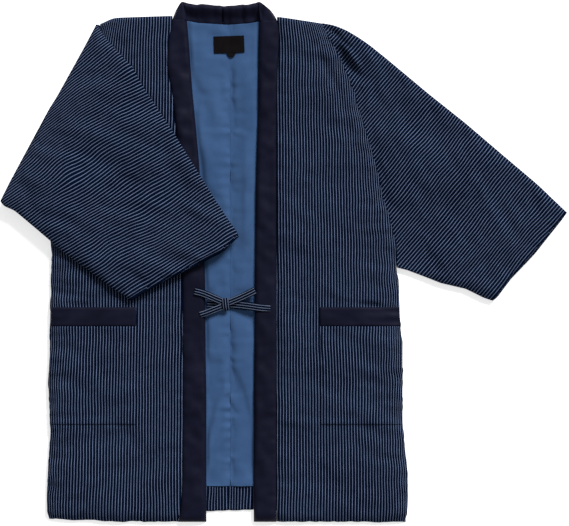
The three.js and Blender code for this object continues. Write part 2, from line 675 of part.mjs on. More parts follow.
/** The neck label, flat on the lining's two bulges. */
function label() {
  const floor = LINING_TOP + LINING_BULGE + GAP;
  return new wasm.Manifold.cube([LABEL.width, LABEL.height, LABEL.thick], true)
    .rotate([0, 0, THREE.MathUtils.radToDeg(LABEL.turn)])
    .translate([LABEL.x, LABEL.up, floor + LABEL.thick / 2]);
}

/** The half-round tab under the label. */
function sizeTab() {
  const floor = LINING_TOP + LINING_BULGE + GAP;
  const top = LABEL.up - LABEL.height / 2 - 2 * GAP;
  const outline = Array.from({ length: TAB.sides + 1 }, (_, i) => {
    const turn = Math.PI + (Math.PI * i) / TAB.sides;
    return { x: TAB.x + TAB.radius * Math.cos(turn), up: top + TAB.radius * Math.sin(turn) };
  });
  return block(outline, floor, floor + LABEL.thick);
}

const stripedCloth = new THREE.MeshStandardMaterial({ color: 0x222b3f, roughness: 0.92, metalness: 0 });
const plainCloth = new THREE.MeshStandardMaterial({ color: 0x161828, roughness: 0.8, metalness: 0 });
const blueLining = new THREE.MeshStandardMaterial({ color: 0x3c5c88, roughness: 0.88, metalness: 0 });
const blackWeave = new THREE.MeshStandardMaterial({ color: 0x100c0f, roughness: 0.6, metalness: 0 });

const pieces = {
  body_right: [bodyPanel(RIGHT), stripedCloth],
  body_left: [bodyPanel(LEFT), stripedCloth],
  lining_right: [lining(RIGHT), blueLining],
  lining_left: [lining(LEFT), blueLining],
  sleeve_right: [foldedSleeve(), stripedCloth],
  sleeve_left: [outSleeve(), stripedCloth],
  collar_right: [collar(RIGHT), plainCloth],
  collar_left: [collar(LEFT), plainCloth],
  pocket_right: [patch(RIGHT, POCKET_BOTTOM, POCKET_BAND_BOTTOM - GAP / 2, PATCH_WALL), stripedCloth],
  pocket_left: [patch(LEFT, POCKET_BOTTOM, POCKET_BAND_BOTTOM - GAP / 2, PATCH_WALL), stripedCloth],
  pocket_band_right: [patch(RIGHT, POCKET_BAND_BOTTOM + GAP / 2, POCKET_BAND_TOP, PATCH_BAND_WALL), plainCloth],
  pocket_band_left: [patch(LEFT, POCKET_BAND_BOTTOM + GAP / 2, POCKET_BAND_TOP, PATCH_BAND_WALL), plainCloth],
  tie_right: [strand(TIE_RIGHT), stripedCloth],
  tie_left: [TIE_LEFT_STRANDS.map(strand).reduce((knot, next) => knot.add(next)), stripedCloth],
  label: [label(), blackWeave],
  size_tab: [sizeTab(), blackWeave],
};

const jacket = new THREE.Group();
for (const [name, [solid, material]] of Object.entries(pieces)) {
  const { vertProperties, triVerts } = solid.getMesh();
  const geometry = new THREE.BufferGeometry();
  geometry.setAttribute('position', new THREE.Float32BufferAttribute(vertProperties, 3));
  geometry.setIndex(Array.from(triVerts));
  geometry.computeVertexNormals();
  const mesh = new THREE.Mesh(geometry, material);
  mesh.name = name;
  jacket.add(mesh);
}

// The middle of the outline becomes the origin, on the table
const middle = new THREE.Box3().setFromObject(jacket).getCenter(new THREE.Vector3());
for (const mesh of jacket.children) {
  mesh.geometry.translate(-middle.x, -middle.y, 0);
}

export default jacket;
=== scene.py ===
"""Dresses the jacket's solids: padded striped cloth, plain bands, blue lining, ties and label, laid flat."""

import logging
import math
from dataclasses import dataclass, field
from enum import Enum

import bpy
import numpy as np
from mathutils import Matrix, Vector


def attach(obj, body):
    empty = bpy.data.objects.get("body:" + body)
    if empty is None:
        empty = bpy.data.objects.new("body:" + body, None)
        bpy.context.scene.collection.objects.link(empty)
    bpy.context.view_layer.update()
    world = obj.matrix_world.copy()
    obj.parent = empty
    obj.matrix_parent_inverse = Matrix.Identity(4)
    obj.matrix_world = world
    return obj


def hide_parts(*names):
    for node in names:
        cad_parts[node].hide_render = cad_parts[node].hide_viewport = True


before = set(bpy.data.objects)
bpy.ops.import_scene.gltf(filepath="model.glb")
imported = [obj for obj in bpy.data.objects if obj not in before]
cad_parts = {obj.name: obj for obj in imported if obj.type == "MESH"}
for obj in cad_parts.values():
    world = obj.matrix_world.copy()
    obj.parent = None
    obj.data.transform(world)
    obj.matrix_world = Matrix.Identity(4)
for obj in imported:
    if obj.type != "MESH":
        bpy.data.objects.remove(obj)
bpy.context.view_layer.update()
log = logging.getLogger("jacket")

# The garment's own sizes are millimetres: x from the centre line, up from the front hem, z off the table.
MM = 0.001
MIDDLE_X = 95.5
MIDDLE_UP = 443.0
GAP = 0.3
SEWN_GAP = 0.06  # between walls that a seam holds together
PADDED_WALL = 8.0
BACK_WALL = 6.8
LINING_FLOOR = 7.1
LINING_TOP = 8.3
FRONT_FLOOR = 8.6
FRONT_TOP = 16.6
BAND_WALL = 9.2
SHOULDER_FOLD = 8.5
BACK_HEM = 21.0
TURN_UP_TOP = 61.0
NECK_SEAM = 846.0
TIE_UP = 373.0
LABEL_UP = 813.0
POCKET_BOTTOM = 167.0
POCKET_BAND_BOTTOM = 334.0
POCKET_BAND_TOP = 366.0
SINKS_FROM = 2.0  # where the fronts' underside leaves the table, and over what height it rises
SINKS_OVER = 15.0
HEM_FILL = 0.72  # how much of that sinking the wadding in the hem makes up for
STRIPE_PITCH = 5.0
PIXEL = 1.7  # millimetres of the garment to a pixel of the photograph
PHOTO_WIDTH = 569


class Side(Enum):
    """The wearer's two sides. The right one lies at negative x."""

    RIGHT = -1
    LEFT = 1

    @property
    def word(self) -> str:
        """The side's name in piece names."""
        return self.name.lower()


class Held(Enum):
    """How a cloth is held: laid flat or folded."""

    LAID = "laid"
    FOLDED = "folded"


class Slot(Enum):
    """The record's material slots."""

    STRIPED = "striped_cloth"
    NAVY = "plain_navy_cloth"
    BLUE = "blue_lining"
    BLACK = "black_label"


# Soft noise and profiles


class Ripples:
    """Repeatable soft noise, one field for each seed."""

    CELLS = 128

    def __init__(self, seed: int) -> None:
        """Draws the lattice.

        Args:
            seed: Names the field.
        """
        self.lattice = np.random.default_rng(seed).uniform(-1.0, 1.0, (self.CELLS, self.CELLS))

    def at(self, x: np.ndarray, y: np.ndarray) -> np.ndarray:
        """Reads the field.

        Args:
            x: Places across, in cells.
            y: Places along, in cells.

        Returns:
            Values from -1 to 1.
        """
        x, y = np.broadcast_arrays(np.asarray(x, float), np.asarray(y, float))
        column, row = np.floor(x).astype(int), np.floor(y).astype(int)
        across, along = x - column, y - row
        across = across**3 * (across * (across * 6 - 15) + 10)
        along = along**3 * (along * (along * 6 - 15) + 10)
        count = self.CELLS
        a = self.lattice[row % count, column % count]
        b = self.lattice[row % count, (column + 1) % count]
        c = self.lattice[(row + 1) % count, column % count]
        d = self.lattice[(row + 1) % count, (column + 1) % count]
        return (a * (1 - across) + b * across) * (1 - along) + (c * (1 - across) + d * across) * along


@dataclass(frozen=True)
class Waves:
    """One layer of soft unevenness: its height and the lengths of its waves, in millimetres."""

    high: float
    across: float
    along: float = 1.0
    start_across: float = 0.0
    start_along: float = 0.0
    reach: float = math.inf

    def of(
        self,
        noise: Ripples,
        across: np.ndarray,
        along: np.ndarray | float = 0.0,
        away: np.ndarray | float = 0.0,
    ) -> np.ndarray:
        """Reads the layer.

        Args:
            noise: The field that it's drawn from.
            across: Places across the waves.
            along: Places along them.
            away: Distances from the seam or hem that the waves fade from, over their reach.

        Returns:
            Heights.
        """
        column = across / self.across + self.start_across
        return self.high * noise.at(column, along / self.along + self.start_along) * fading(away, self.reach)


def fading(away: np.ndarray | float, reach: float) -> np.ndarray:
    """1 at no distance, and less the farther away, by the reach."""
    return np.exp(-away / reach)


def bell(away: np.ndarray, wide: float) -> np.ndarray:
    """1 at no distance, and near 0 past twice the width, with a round top."""
    return np.exp(-((away / wide) ** 2))


def around(at: np.ndarray, middle: float, half: float, fade: float) -> np.ndarray:
    """1 round a middle, and less past half a width on either side.

    Args:
        at: Places.
        middle: The middle.
        half: Half the width.
        fade: How soon it falls past that.

    Returns:
        Shares from 0 to 1.
    """
    return fading(np.maximum(np.abs(at - middle) - half, 0), fade)


def eased(share: np.ndarray) -> np.ndarray:
    """A share kept from 0 to 1, with a soft start and a soft end."""
    share = np.clip(share, 0, 1)
    return share * share * (3 - 2 * share)


def evened(values: np.ndarray, times: int) -> np.ndarray:
    """Softens rows of values between the first and the last.

    Args:
        values: The rows.
        times: How often each row takes on half of its neighbours.

    Returns:
        The softened rows.
    """
    values = values.copy()
    for _ in range(times):
        values[1:-1] = (values[:-2] + 2 * values[1:-1] + values[2:]) / 4
    return values


def run_along(points: np.ndarray) -> np.ndarray:
    """How far along a line each of its points lies, from 0."""
    return np.concatenate([[0], np.cumsum(np.linalg.norm(np.diff(points, axis=0), axis=1))])


def turned_axes(x: np.ndarray, up: np.ndarray, degrees: float) -> tuple[np.ndarray, np.ndarray]:
    """Reads places along a turned direction and square to it.

    Args:
        x: Places across.
        up: Places up.
        degrees: How far the direction is turned from the x axis.

    Returns:
        Distances along the direction, and to its left.
    """
    turn = math.radians(degrees)
    return x * math.cos(turn) + up * math.sin(turn), up * math.cos(turn) - x * math.sin(turn)


@dataclass(frozen=True)
class Trough:
    """A soft crease or ridge along a straight line, in the garment's millimetres."""

    from_x: float
    from_up: float
    to_x: float
    to_up: float
    deep: float
    wide: float

    def depth(self, x: np.ndarray, up: np.ndarray) -> np.ndarray:
        """How far the crease lowers the cloth.

        Args:
            x: Places across.
            up: Places up.

        Returns:
            Depths in millimetres, below zero for a ridge.
        """
        run_x, run_up = self.to_x - self.from_x, self.to_up - self.from_up
        length = run_x**2 + run_up**2
        share = np.clip(((x - self.from_x) * run_x + (up - self.from_up) * run_up) / length, 0, 1)
        away = np.hypot(x - self.from_x - share * run_x, up - self.from_up - share * run_up)
        ends = np.clip(np.minimum(share, 1 - share) * 5 + 0.25, 0, 1)
        return self.deep * ends * bell(away, self.wide)


def sunk(troughs: list[Trough], x: np.ndarray, up: np.ndarray) -> np.ndarray:
    """The depth of several creases together.

    Args:
        troughs: The creases.
        x: Places across.
        up: Places up.

    Returns:
        Depths in millimetres.
    """
    total = np.zeros(np.broadcast(x, up).shape)
    for trough in troughs:
        total = total + trough.depth(x, up)
    return total


def swell(distance: np.ndarray, reach: float, least: float) -> np.ndarray:
    """Share of the full height at a distance from an edge, as a quarter circle.

    Args:
        distance: Distances from the edge.
        reach: Where the full height is reached.
        least: The share at the edge itself.

    Returns:
        Shares from least to 1.
    """
    inside = np.clip(distance / reach, 0, 1)
    return least + (1 - least) * np.sqrt(1 - (1 - inside) ** 2)


class Table:
    """A table whose rows rise by a key, read with its corners softened."""

    def __init__(self, rows: list[dict[str, float]], key: str, soft: float = 14.0) -> None:
        """Keeps the rows.

        Args:
            rows: The table, in rising order of the key.
            key: The column that the others are read by.
            soft: Over how many millimetres a corner is softened.
        """
        self.keys = np.array([row[key] for row in rows], float)
        self.columns = {name: np.array([row[name] for row in rows], float) for name in rows[0]}
        self.soft = soft

    def read(self, column: str, at: np.ndarray) -> np.ndarray:
        """Reads a column, averaged over a few places around each asked one.

        Args:
            column: The column's name.
            at: Values of the key.

        Returns:
            The column there.
        """
        offsets = np.linspace(-self.soft, self.soft, 9)
        weights = 1 - (offsets / (self.soft * 1.2 + 1e-9)) ** 2
        low, high = self.keys[0], self.keys[-1]
        at = np.asarray(at, float)
        total = 0.0
        for offset, weight in zip(offsets, weights):
            ends = np.minimum(at - low, high - at).clip(0, self.soft) / self.soft
            total = total + weight * np.interp(at + offset * ends, self.keys, self.columns[column])
        return total / weights.sum()


class Line:
    """A line of places, read by its share of length, with soft corners and fixed ends."""

    COUNT = 161

    def __init__(self, places: list[tuple[float, float]], soft: int = 3) -> None:
        """Resamples the line.

        Args:
            places: Its corners as (x, up).
            soft: How many times it is smoothed.
        """
        points = np.array(places, float)
        run = run_along(points)
        spots = np.linspace(0, run[-1], self.COUNT)
        self.points = evened(np.stack([np.interp(spots, run, points[:, k]) for k in (0, 1)], axis=1), soft)
        self.run = run_along(self.points)
        self.length = float(self.run[-1])

    def at(self, share: np.ndarray) -> np.ndarray:
        """Places at shares of the length.

        Args:
            share: From 0 to 1.

        Returns:
            An array with (x, up) last.
        """
        run = np.asarray(share, float) * self.length
        return np.stack([np.interp(run, self.run, self.points[:, k]) for k in (0, 1)], axis=-1)


def steps(length: float, step: float, start: float = 0.6, end: float = 0.6, grow: float = 1.45) -> np.ndarray:
    """Shares of a length, close together at both ends and even between them.

    Args:
        length: The whole length in millimetres.
        step: The even step.
        start: The first step.
        end: The last step.
        grow: How fast steps grow from an end.

    Returns:
        Rising shares from 0 to 1.
    """

    def climb(first: float) -> list[float]:
        """Places from an end until its steps reach the even one."""
        places, size = [0.0], first
        while size < step:
            places.append(places[-1] + size)
            size *= grow
        return places

    low, high = climb(start), climb(end)
    between = length - low[-1] - high[-1]
    count = max(1, round(between / step))
    middle = low[-1] + np.arange(1, count) * between / count
    return np.concatenate([low, middle, length - np.array(high[::-1])]) / length


# Meshes


def quads_of_grid(rows: int, columns: int, looped: bool = False) -> np.ndarray:
    """The faces of a grid of points.

    Args:
        rows: How many rows.
        columns: How many points in a row.
        looped: If each row closes on itself.

    Returns:
        Four point numbers for each face.
    """
    row = np.arange(rows - 1)[:, None] * columns
    column = np.arange(columns if looped else columns - 1)[None, :]
    after = (column + 1) % columns
    corners = [row + column, row + after, row + columns + after, row + columns + column]
    return np.stack(corners, -1).reshape(-1, 4)


def mesh_object(name: str, points: np.ndarray, faces: np.ndarray, cut: np.ndarray) -> bpy.types.Object:
    """Makes a smooth-shaded object of garment millimetres, with its faces turned outwards.

    Args:
        name: The object's name.
        points: Places as x, up and z.
        faces: Four point numbers each.
        cut: Each point's place on the cut cloth, in millimetres.

    Returns:
        The new object.
    """
    placed = (points - np.array([MIDDLE_X, MIDDLE_UP, 0.0])) * MM
    a, b, c, d = (placed[faces[:, k]] for k in range(4))
    volume = np.einsum("ij,ij->", a, np.cross(b, c)) + np.einsum("ij,ij->", a, np.cross(c, d))
    if volume < 0:
        faces = faces[:, ::-1]
    mesh = bpy.data.meshes.new(name)
    mesh.vertices.add(len(placed))
    mesh.vertices.foreach_set("co", placed.ravel())
    mesh.loops.add(faces.size)
    mesh.loops.foreach_set("vertex_index", faces.ravel().astype(np.int32))
    mesh.polygons.add(len(faces))
    mesh.polygons.foreach_set("loop_start", np.arange(0, faces.size, 4, dtype=np.int32))
    mesh.update(calc_edges=True)
    layer = mesh.uv_layers.new(name="cut")
    layer.data.foreach_set("uv", (cut[faces.ravel()] * MM).ravel())
    mesh.polygons.foreach_set("use_smooth", np.ones(len(faces), bool))
    mesh.validate()
    made = bpy.data.objects.new(name, mesh)
    bpy.context.scene.collection.objects.link(made)
    return made


class ShellMaker:
    """Collects closed cloth walls into one mesh."""

    def __init__(self) -> None:
        """Starts empty."""
        self.points: list[np.ndarray] = []
        self.faces: list[np.ndarray] = []
        self.cut: list[np.ndarray] = []
        self.count = 0

    def wall(self, upper: np.ndarray, lower: np.ndarray, cut: np.ndarray) -> None:
        """Adds a wall between two grids, closed all round.

        Args:
            upper: Grid of x, up, z.
            lower: The same size of grid on the other side.
            cut: Grid of places on the cut cloth.
        """
        rows, columns = upper.shape[:2]
        grid = quads_of_grid(rows, columns)
        far = rows * columns
        left = np.arange(rows - 1) * columns
        right = left + columns - 1
        near = np.arange(columns - 1)
        last = near + (rows - 1) * columns
        faces = [
            grid,
            grid[:, ::-1] + far,
            np.stack([left, left + columns, far + left + columns, far + left], -1),
            np.stack([right, far + right, far + right + columns, right + columns], -1),
            np.stack([near, far + near, far + near + 1, near + 1], -1),
            np.stack([last, last + 1, far + last + 1, far + last], -1),
        ]
        self.keep([upper, lower], faces, [cut, cut])

    def tube(self, outer: np.ndarray, inner: np.ndarray, cut: np.ndarray, shut: bool) -> None:
        """Adds a flattened tube whose rings run from the body to the cuff.

        Args:
            outer: Rings of x, up, z: the upper layer forwards, then the lower one back.
            inner: The same rings inside the cloth.
            cut: Rings of places on the cut cloth.
            shut: If the first rings are closed by a fold.
        """
        rows, columns = outer.shape[:2]
        grid = quads_of_grid(rows, columns, looped=True)
        far = rows * columns
        ring = np.arange(columns)
        after = (ring + 1) % columns
        end = (rows - 1) * columns
        mouth = np.stack([end + ring, end + after, far + end + after, far + end + ring], -1)
        faces = [grid, grid[:, ::-1] + far, mouth]
        if shut:
            half = columns // 2
            near = np.arange(half)
            back = (columns - near) % columns
            back_next = columns - near - 1
            faces.append(np.stack([near, back, back_next, near + 1], -1))
            faces.append(np.stack([far + near, far + near + 1, far + back_next, far + back], -1))
        else:
            faces.append(np.stack([ring, far + ring, far + after, after], -1))
        self.keep([outer, inner], faces, [cut, cut])

    def keep(self, grids: list[np.ndarray], faces: list[np.ndarray], cuts: list[np.ndarray]) -> None:
        """Keeps points and faces, numbered after what is already there.

        Args:
            grids: Grids of places.
            faces: Faces by the grids' own point numbers.
            cuts: Each grid's places on the cut cloth.
        """
        points = np.concatenate([grid.reshape(-1, 3) for grid in grids])
        self.points.append(points)
        self.cut.append(np.concatenate([cut.reshape(-1, 2) for cut in cuts]))
        self.faces.append(np.concatenate(faces) + self.count)
        self.count += len(points)

    def build(self, name: str) -> bpy.types.Object:
        """Makes the object.

        Args:
            name: Its name.

        Returns:
            The new object, with faces without area left out.
        """
        faces = np.concatenate(self.faces)
        distinct = (faces[:, 0] != faces[:, 1]) & (faces[:, 2] != faces[:, 3])
        return mesh_object(name, np.concatenate(self.points), faces[distinct], np.concatenate(self.cut))


def stacked(x: np.ndarray, up: np.ndarray, z: np.ndarray) -> np.ndarray:
    """Joins three grids of numbers into one grid of places.

    Args:
        x: Places across.
        up: Places up.
        z: Heights.

    Returns:
        A grid of x, up, z.
    """
    return np.stack(np.broadcast_arrays(x, up, z), axis=-1).astype(float)


def sheet_area(points: np.ndarray) -> float:
    """The area of a grid of places seen from above.

    Args:
        points: A grid of x, up, z.

    Returns:
        Square metres.
    """
    across = points[1:, 1:, :2] - points[:-1, :-1, :2]
    along = points[1:, :-1, :2] - points[:-1, 1:, :2]
    doubled = np.abs(across[..., 0] * along[..., 1] - across[..., 1] * along[..., 0])
    return float(doubled.sum() / 2) * MM * MM


# Finishes


class NodeTable:
    """Adds shader nodes to a tree in few words."""

    def __init__(self, tree: bpy.types.NodeTree) -> None:
        """Keeps the tree.

        Args:
            tree: A material's or group's node tree.
        """
        self.tree = tree

    def node(self, kind: str, inputs: dict | None = None, **settings: object) -> bpy.types.Node:
        """Adds a node.

        Args:
            kind: Its type's name.
            inputs: Sockets to link or values to set, by name or number.
            settings: Its properties.

        Returns:
            The node.
        """
        made = self.tree.nodes.new(kind)
        for name, value in settings.items():
            setattr(made, name, value)
        for name, value in (inputs or {}).items():
            self.feed(made.inputs[name], value)
        return made

    def feed(self, socket: bpy.types.NodeSocket, value: object) -> None:
        """Links a socket to another, or sets its value.

        Args:
            socket: The input.
            value: An output socket, a number or a tuple.
        """
        if isinstance(value, bpy.types.NodeSocket):
            self.tree.links.new(value, socket)
        else:
            socket.default_value = value

    def math(self, operation: str, *values: object) -> bpy.types.NodeSocket:
        """Adds a Math node.

        Args:
            operation: Its operation.
            values: Its inputs in order.

        Returns:
            Its output.
        """
        return self.node("ShaderNodeMath", dict(enumerate(values)), operation=operation).outputs[0]

    def blend(self, share: object, first: object, second: object) -> bpy.types.NodeSocket:
        """Mixes two colours.

        Args:
            share: How much of the second.
            first: A colour.
            second: A colour.

        Returns:
            The mixed colour.
        """
        made = self.tree.nodes.new("ShaderNodeMix")
        made.data_type = "RGBA"
        self.feed(made.inputs[0], share)
        self.feed(made.inputs[6], first)
        self.feed(made.inputs[7], second)
        return made.outputs[2]

    def ranged(
        self, value: object, low: object, high: object, to_low: float = 0.0, to_high: float = 1.0
    ) -> bpy.types.NodeSocket:
        """Maps a range softly onto another.

        Args:
            value: What is mapped.
            low: Where the range starts.
            high: Where it ends.
            to_low: The result at its start.
            to_high: The result at its end.

        Returns:
            The mapped value.
        """
        inputs = dict(enumerate((value, low, high, to_low, to_high)))
        return self.node("ShaderNodeMapRange", inputs, interpolation_type="SMOOTHSTEP").outputs[0]


def shader_group(
    name: str, inputs: dict[str, float | None], outputs: list[str]
) -> tuple[bpy.types.NodeTree, NodeTable]:
    """Starts a node group.

    Args:
        name: The group's name.
        inputs: Input names with their usual values, or None for a vector.
        outputs: Output names, all plain values.

    Returns:
        The group and a node table for it.
    """
    tree = bpy.data.node_groups.new(name, "ShaderNodeTree")
    for label, value in inputs.items():
        kind = "NodeSocketVector" if value is None else "NodeSocketFloat"
        socket = tree.interface.new_socket(label, in_out="INPUT", socket_type=kind)
        if value is not None:
            socket.default_value = value
    for label in outputs:
        tree.interface.new_socket(label, in_out="OUTPUT", socket_type="NodeSocketFloat")
    return tree, NodeTable(tree)


class ClothGroups:
    """The node groups that the cloths share: woven threads, woven stripes and uneven tone."""

    SLUB_SCALE = 45.0
    SMALL_SHARE = 0.4

    def __init__(self) -> None:
        """Builds each group once."""
        self.weave = self._weave()
        self.stripes = self._stripes()
        self.tone = self._tone()

    @staticmethod
    def _weave() -> bpy.types.NodeTree:
        """Threads over and under each other, as a height.

        Returns:
            The group.
        """
        tree, table = shader_group("woven_threads", {"Place": None, "Thread": 0.0006}, ["Height"])
        place = table.node("NodeGroupInput")
        split = table.node("ShaderNodeSeparateXYZ", {0: place.outputs["Place"]})
        turns = [
            table.math("MULTIPLY", table.math("DIVIDE", split.outputs[k], place.outputs["Thread"]), math.pi)
            for k in (0, 1)
        ]
        over = table.math("MULTIPLY", table.math("SINE", turns[0]), table.math("SINE", turns[1]))
        table.node("NodeGroupOutput", {"Height": table.math("MULTIPLY_ADD", over, 0.5, 0.5)})
        return tree

    @staticmethod
    def _stripes() -> bpy.types.NodeTree:
        """Pale threads woven in at an even pitch, a little uneven along their length.

        Returns:
            The group.
        """
        names = {"Place": None, "Pitch": STRIPE_PITCH * MM, "Share": 0.3, "Soft": 0.05, "Slub": 0.3}
        tree, table = shader_group("woven_stripes", names, ["Mask"])
        place = table.node("NodeGroupInput")
        split = table.node("ShaderNodeSeparateXYZ", {0: place.outputs["Place"]})
        across = table.math("DIVIDE", split.outputs[0], place.outputs["Pitch"])
        from_middle = table.math("ABSOLUTE", table.math("SUBTRACT", table.math("FRACT", across), 0.5))
        half = table.math("MULTIPLY", place.outputs["Share"], 0.5)
        low, high = (table.math(way, half, place.outputs["Soft"]) for way in ("SUBTRACT", "ADD"))
        line = table.ranged(from_middle, low, high, 1.0, 0.0)
        run = table.math("MULTIPLY", split.outputs[1], ClothGroups.SLUB_SCALE)
        thread = table.node("ShaderNodeCombineXYZ", {0: table.math("FLOOR", across), 1: run})
        slub = table.node("ShaderNodeTexNoise", {"Vector": thread.outputs[0], "Scale": 1.0, "Detail": 3.0})
        uneven = table.math("MULTIPLY", table.ranged(slub.outputs["Fac"], 0.3, 0.75), place.outputs["Slub"])
        mask = table.math("MULTIPLY", line, table.math("SUBTRACT", 1.0, uneven))
        table.node("NodeGroupOutput", {"Mask": mask})
        return tree

    @staticmethod
    def _tone() -> bpy.types.NodeTree:
        """Broad and small unevenness of tone, and small soft rumples as a height.

        Returns:
            The group.
        """
        names = {"Place": None, "Broad": 9.0, "Small": 55.0}
        tree, table = shader_group("uneven_tone", names, ["Tone", "Rumple"])
        place = table.node("NodeGroupInput")
        broad, small = (
            table.node("ShaderNodeTexNoise", {"Vector": place.outputs["Place"], "Scale": scale, "Detail": 2.0})
            for scale in (place.outputs["Broad"], place.outputs["Small"])
        )
        small.inputs["Roughness"].default_value = 0.45
        share = ClothGroups.SMALL_SHARE
        rest = table.math("MULTIPLY", broad.outputs["Fac"], 1.0 - share)
        tone = table.math("MULTIPLY_ADD", small.outputs["Fac"], share, rest)
        table.node("NodeGroupOutput", {"Tone": tone, "Rumple": small.outputs["Fac"]})
        return tree


@dataclass(frozen=True)
class ClothFinish:
    """A woven cloth's finish. Colours are linear."""

    name: str
    slot: Slot
    ground: tuple[float, float, float]
    worn: tuple[float, float, float]
    line: tuple[float, float, float] | None = None
    line_share: float = 0.176
    line_pitch: float = STRIPE_PITCH
    roughness: float = 0.9
    unevenness: float = 0.05
    sheen: float = 0.012
    sheen_roughness: float = 0.45
    sheen_tint: tuple[float, float, float] = (0.45, 0.55, 0.75)
    gloss: float = 0.0
    rumple: float = 0.2
    rumple_size: float = 0.0012
    thread: float = 0.0006
    weave_depth: float = 0.00005

    def build(self, groups: ClothGroups) -> bpy.types.Material:
        """Makes the material.

        Args:
            groups: The shared node groups.

        Returns:
            The material.
        """
        material = bpy.data.materials.new(self.name)
        material.use_nodes = True
        table = NodeTable(material.node_tree)
        shader = material.node_tree.nodes["Principled BSDF"]
        cut = table.node("ShaderNodeUVMap", uv_map="cut").outputs["UV"]
        place = table.node("ShaderNodeTexCoord").outputs["Object"]
        tone = self._group(table, groups.tone, {"Place": place})
        weave = self._group(table, groups.weave, {"Place": cut, "Thread": self.thread})
        shade = table.ranged(tone.outputs["Tone"], 0.35, 0.65)
        colour = table.blend(shade, (*self.ground, 1.0), (*self.worn, 1.0))
        if self.line is not None:
            stripes = self._group(
                table, groups.stripes, {"Place": cut, "Pitch": self.line_pitch * MM, "Share": self.line_share}
            )
            colour = table.blend(stripes.outputs["Mask"], colour, (*self.line, 1.0))
        table.feed(shader.inputs["Base Color"], colour)
        dull, smooth = self.roughness + self.unevenness, self.roughness - self.unevenness
        table.feed(shader.inputs["Roughness"], table.ranged(shade, 0.0, 1.0, dull, smooth))
        shader.inputs["Sheen Weight"].default_value = self.sheen
        shader.inputs["Sheen Roughness"].default_value = self.sheen_roughness
        shader.inputs["Sheen Tint"].default_value = (*self.sheen_tint, 1.0)
        shader.inputs["Specular IOR Level"].default_value = self.gloss
        rumpled = table.node(
            "ShaderNodeBump",
            {"Strength": self.rumple, "Distance": self.rumple_size, "Height": tone.outputs["Rumple"]},
        )
        woven = table.node(
            "ShaderNodeBump",
            {
                "Strength": 0.5,
                "Distance": self.weave_depth,
                "Height": weave.outputs["Height"],
                "Normal": rumpled.outputs["Normal"],
            },
        )
        table.feed(shader.inputs["Normal"], woven.outputs["Normal"])
        return material

    @staticmethod
    def _group(table: NodeTable, tree: bpy.types.NodeTree, inputs: dict) -> bpy.types.Node:
        """Places a shared group in the material.

        Args:
            table: The material's node table.
            tree: The group.
            inputs: What it's fed, by name.

        Returns:
            The group's node.
        """
        made = table.node("ShaderNodeGroup", node_tree=tree)
        for name, value in inputs.items():
            table.feed(made.inputs[name], value)
        return made


STRIPED_COTTON = ClothFinish(
    "striped_cotton",
    Slot.STRIPED,
    ground=(0.0009, 0.0034, 0.0126),
    worn=(0.0018, 0.0052, 0.0168),
    line=(0.150, 0.195, 0.318),
)
TIE_COTTON = ClothFinish(
    "tie_cotton",
    Slot.STRIPED,
    ground=STRIPED_COTTON.ground,
    worn=STRIPED_COTTON.worn,
    line=(0.150, 0.185, 0.265),
    line_share=0.2,
    line_pitch=4.3,
)
NAVY_COTTON = ClothFinish(
    "navy_cotton",
    Slot.NAVY,
    ground=(0.0052, 0.0056, 0.0152),
    worn=(0.0071, 0.0076, 0.0198),
    roughness=0.6,
    gloss=0.05,
)
BLUE_COTTON = ClothFinish(
    "blue_cotton",
    Slot.BLUE,
    ground=(0.040, 0.086, 0.192),
    worn=(0.047, 0.099, 0.214),
    roughness=0.8,
    rumple=0.25,
)
BLACK_SATIN = ClothFinish(
    "black_satin",
    Slot.BLACK,
    ground=(0.0045, 0.0035, 0.0042),
    worn=(0.0065, 0.0052, 0.0060),
    roughness=0.55,
    sheen=0.01,
    gloss=0.02,
    rumple=0.05,
    thread=0.0003,
    weave_depth=0.00004,
)


# Settling


def nearest(places: np.ndarray, count: int) -> np.ndarray:
    """Picks evenly spread members of a rising row of shares.

    Args:
        places: Shares from 0 to 1.
        count: How many to pick at most.

    Returns:
        Their indices, with the first and the last.
    """
    wanted = np.linspace(places[0], places[-1], max(count, 4))
    return np.unique(np.abs(places[:, None] - wanted[None, :]).argmin(axis=0))


def spread(
    rows: np.ndarray, columns: np.ndarray, values: np.ndarray, to: tuple[np.ndarray, np.ndarray]
) -> np.ndarray:
    """Reads a coarse grid of values at the rows and columns of a finer one, softly.

    Args:
        rows: Where the coarse rows are.
        columns: Where the coarse columns are.
        values: The coarse values.
        to: The finer rows and columns.

    Returns:
        The finer values.
    """
    tall = np.stack([np.interp(to[0], rows, values[:, k]) for k in range(len(columns))], axis=1)
    fine = np.stack([np.interp(to[1], columns, row) for row in tall])
    return evened(evened(fine, 3).T, 3).T


